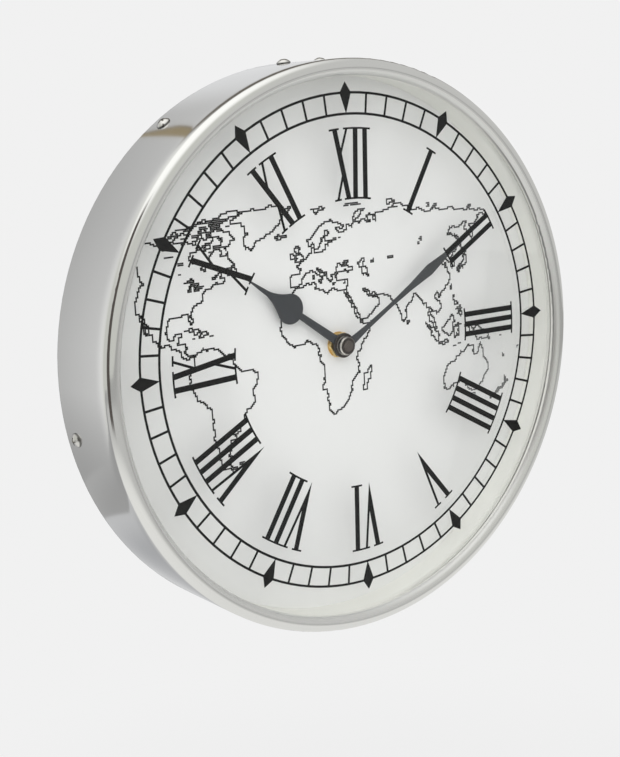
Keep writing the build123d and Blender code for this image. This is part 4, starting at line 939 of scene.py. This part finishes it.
def floor_finish(stage):
    """Pale floor that blends into the backdrop and keeps a soft shadow."""
    n, place = finish("studio_floor")
    x, y, _ = n.split(place)
    # What the metal mirrors of the floor near the clock
    away = (x * x + y * y) ** 0.5
    near = n.mix(n.step(x, -0.45, 0.1), (0.90, 0.90, 0.87), (0.85, 0.85, 0.825))
    near = n.mix(n.step(away, 0.6, 1.3), near, (0.60, 0.60, 0.585))
    near = n.mix(n.step(away, 1.85, 2.25), near, (0.43, 0.43, 0.418))
    bearing = x.maths("ARCTAN2", x + 0.15, y + 0.05)
    strip = n.step(abs(bearing + 2.19), 0.20, 0.32, 1.0, 0.0) * n.step(away, 1.15, 1.6)
    near = n.mix(strip, near, STRIP_COLOUR)
    # What it mirrors of the floor's far side
    line = y - x * 0.70 - 0.742
    edge = n.mix(n.step(line, -0.20, -0.01), (0.43, 0.435, 0.45), (0.59, 0.595, 0.605))
    dusk = n.mix(n.step(y, 0.62, 0.82), (0.39, 0.39, 0.39), (0.47, 0.47, 0.47))
    edge = n.mix(n.step(line, -0.006, 0.006), edge, dusk)
    back = n.mix(n.step(x, -0.1, 0.3), edge, (0.68, 0.685, 0.69))
    back = n.mix(n.step(x, 0.27, 0.40), back, (0.36, 0.36, 0.355))
    mirrored = n.mix(n.step(y, 0.15, 0.45), near, back)
    glossy, seen = n.rays()
    glow = n.node("ShaderNodeEmission", None, {"Color": n.mix(glossy, stage.backdrop, mirrored)})
    matt = n.node("ShaderNodeBsdfDiffuse", None, {"Color": (0.86, 0.86, 0.86)})
    far = n.step(away, 0.35, 0.60, 0.88, 1.0)
    both = n.node("ShaderNodeMixShader", None, {0: seen.most(glossy) * far, 1: matt, 2: glow})
    n.node("ShaderNodeOutputMaterial", None, {"Surface": both})
    return n.owner


def lay_floor(stage):
    """A large flat floor under the clock."""
    mesh = bmesh.new()
    bmesh.ops.create_grid(mesh, x_segments=1, y_segments=1, size=1.0)
    bmesh.ops.scale(mesh, verts=mesh.verts, vec=(*FLOOR_HALF, 1.0))
    bmesh.ops.translate(mesh, verts=mesh.verts, vec=(0.0, stage.floor_rear - FLOOR_HALF[1], stage.floor))
    floor = put_mesh("floor", mesh, floor_finish(stage))


def hang_lamp(stage):
    """One broad soft light at upper left, in front of the clock."""
    lamp = bpy.data.lights.new("key", "AREA")
    lamp.energy = stage.key
    lamp.size = stage.key_size
    held = put("key", lamp)
    aim = LAMP_SPOT.to_track_quat("Z", "Y").to_matrix().to_4x4()
    held.matrix_world = Matrix.Translation(LAMP_SPOT) @ aim
    held.visible_glossy = False


def stand_camera(stage):
    """The camera, placed and turned as the photograph was taken."""
    lens = bpy.data.cameras.new("camera")
    lens.lens = stage.lens
    lens.sensor_width = SENSOR
    held = put("camera", lens)
    turn = Matrix.Rotation(-stage.pan, 4, "Z") @ Matrix.Rotation(math.pi / 2 + stage.tilt, 4, "X")
    held.matrix_world = Matrix.Translation(stage.place) @ turn @ Matrix.Rotation(stage.roll, 4, "Z")
    bpy.context.scene.camera = held


class CLOCK_OT_case(Operator):
    """Finish the drum with its lip, and the screws round it."""

    bl_idname = "clock.case"
    bl_label = "Case and screws"

    def execute(self, context):
        looks = context.scene.clock_finishes
        dress(polished_case(looks), "case_shell")
        dress(plated_screw(looks), "band_screws", "hanger_screws")
        return {"FINISHED"}


class CLOCK_OT_glass(Operator):
    """Finish the glass and what is printed on it."""

    bl_idname = "clock.glass"
    bl_label = "Glass and numerals"

    def execute(self, context):
        looks = context.scene.clock_finishes
        dress(clear_glass(looks), "glass")
        dress(printed_ink("black_ink", looks.ink, 0.5), "glass_print")
        return {"FINISHED"}


class CLOCK_OT_dial(Operator):
    """Finish the dial sheet, its board and the wall round it."""

    bl_idname = "clock.dial"
    bl_label = "Dial and inner wall"

    def execute(self, context):
        looks = context.scene.clock_finishes
        dress(dial_paper(looks), "dial_face")
        dress(wall_plastic(looks), "spacer_ring")
        dress(fibre_board("dial_board", looks.board, looks.fleck, 0.6), "dial_board", "rear_spacer")
        return {"FINISHED"}


class CLOCK_OT_map(Operator):
    """Print the map of the world on the dial."""

    bl_idname = "clock.map"
    bl_label = "Map"

    def execute(self, context):
        looks = context.scene.clock_finishes
        ink = printed_ink("map_ink", looks.map_ink, 0.6)
        add_piece("dial_map", lay_map(context.scene.clock_map), ink, "case")
        return {"FINISHED"}


class CLOCK_OT_hands(Operator):
    """Finish the hands, their bushes and the cap."""

    bl_idname = "clock.hands"
    bl_label = "Hands and hubs"

    def execute(self, context):
        looks = context.scene.clock_finishes
        dress(hand_enamel(looks), "hour_hand", "minute_hand")
        dress(hub_metal(looks), "hour_hand_hub", "minute_hand_hub", "minute_cap")
        return {"FINISHED"}


class CLOCK_OT_fixings(Operator):
    """Finish the nut, washers, bush and arbor at the centre."""

    bl_idname = "clock.fixings"
    bl_label = "Nut and washers"

    def execute(self, context):
        looks = context.scene.clock_finishes
        dress(turned_brass(looks), "mounting_nut", "mounting_washer", "threaded_bush", "minute_arbor")
        dress(soft_rubber(looks), "rubber_washer", "chip_cover")
        return {"FINISHED"}


class CLOCK_OT_back(Operator):
    """Finish the back board and the hanger."""

    bl_idname = "clock.back"
    bl_label = "Back and hanger"

    def execute(self, context):
        looks = context.scene.clock_finishes
        dress(fibre_board("back_board", looks.back, looks.fleck, 0.42), "back_board")
        dress(hanger_zinc(looks), "hanger_bracket")
        return {"FINISHED"}


class CLOCK_OT_movement(Operator):
    """Finish the movement: its case, train, motor and circuit."""

    bl_idname = "clock.movement"
    bl_label = "Movement"

    def execute(self, context):
        looks = context.scene.clock_finishes
        dress(moulded_case(looks), "movement_box", "movement_cover", "set_knob")
        dress(wheel_plastic(looks), "train_bridge", "hour_wheel", "motion_wheel", "centre_wheel",
              "third_wheel", "second_wheel", "step_wheel", "rotor_pinion", "coil_bobbin")
        dress(sheet_metal("spring_steel", looks.spring, 0.2), "clutch_spring", "stator", "coil_core")
        dress(magnet_grey(looks), "rotor_magnet")
        dress(copper_wire(looks), "coil_winding")
        dress(circuit_green(looks), "circuit_board")
        dress(crystal_can(looks), "quartz_crystal")
        return {"FINISHED"}


class CLOCK_OT_battery(Operator):
    """Finish the battery and its two contacts."""

    bl_idname = "clock.battery"
    bl_label = "Battery and contacts"

    def execute(self, context):
        looks = context.scene.clock_finishes
        dress(battery_wrap(looks), "battery")
        plate = sheet_metal("contact_plate", shade(looks.spring, 1.15), 0.14)
        dress(plate, "contact_positive", "contact_negative")
        return {"FINISHED"}


class CLOCK_OT_stage(Operator):
    """Set up the floor, the light and the camera."""

    bl_idname = "clock.stage"
    bl_label = "Stage"

    def execute(self, context):
        stage = context.scene.clock_stage
        studio_world(stage)
        lay_floor(stage)
        hang_lamp(stage)
        stand_camera(stage)
        context.scene.view_settings.view_transform = "Standard"
        return {"FINISHED"}


OPERATORS = (CLOCK_OT_case, CLOCK_OT_glass, CLOCK_OT_dial, CLOCK_OT_map, CLOCK_OT_hands, CLOCK_OT_fixings,
             CLOCK_OT_back, CLOCK_OT_movement, CLOCK_OT_battery, CLOCK_OT_stage)


class CLOCK_PT_panel(Panel):
    """Lists the clock's steps and the values that may be changed."""

    bl_label = "Clock"
    bl_space_type = "VIEW_3D"
    bl_region_type = "UI"
    bl_category = "Clock"

    def draw(self, context):
        for step in OPERATORS:
            self.layout.operator(step.bl_idname)
        for group in GROUPS:
            values = getattr(context.scene, group)
            box = self.layout.box()
            for name in values.__annotations__:
                box.prop(values, name)


GROUPS = {"clock_finishes": ClockFinishes, "clock_map": ClockMap, "clock_stage": ClockStage}


def register():
    for name, group in GROUPS.items():
        bpy.utils.register_class(group)
        setattr(bpy.types.Scene, name, PointerProperty(type=group))
    for made in (*OPERATORS, CLOCK_PT_panel):
        bpy.utils.register_class(made)


def unregister():
    for made in (CLOCK_PT_panel, *reversed(OPERATORS)):
        bpy.utils.unregister_class(made)
    for name, group in GROUPS.items():
        delattr(bpy.types.Scene, name)
        bpy.utils.unregister_class(group)


def main():
    register()
    for step in OPERATORS:
        group, name = step.bl_idname.split(".")
        getattr(getattr(bpy.ops, group), name)()


if __name__ == "__main__":
    main()
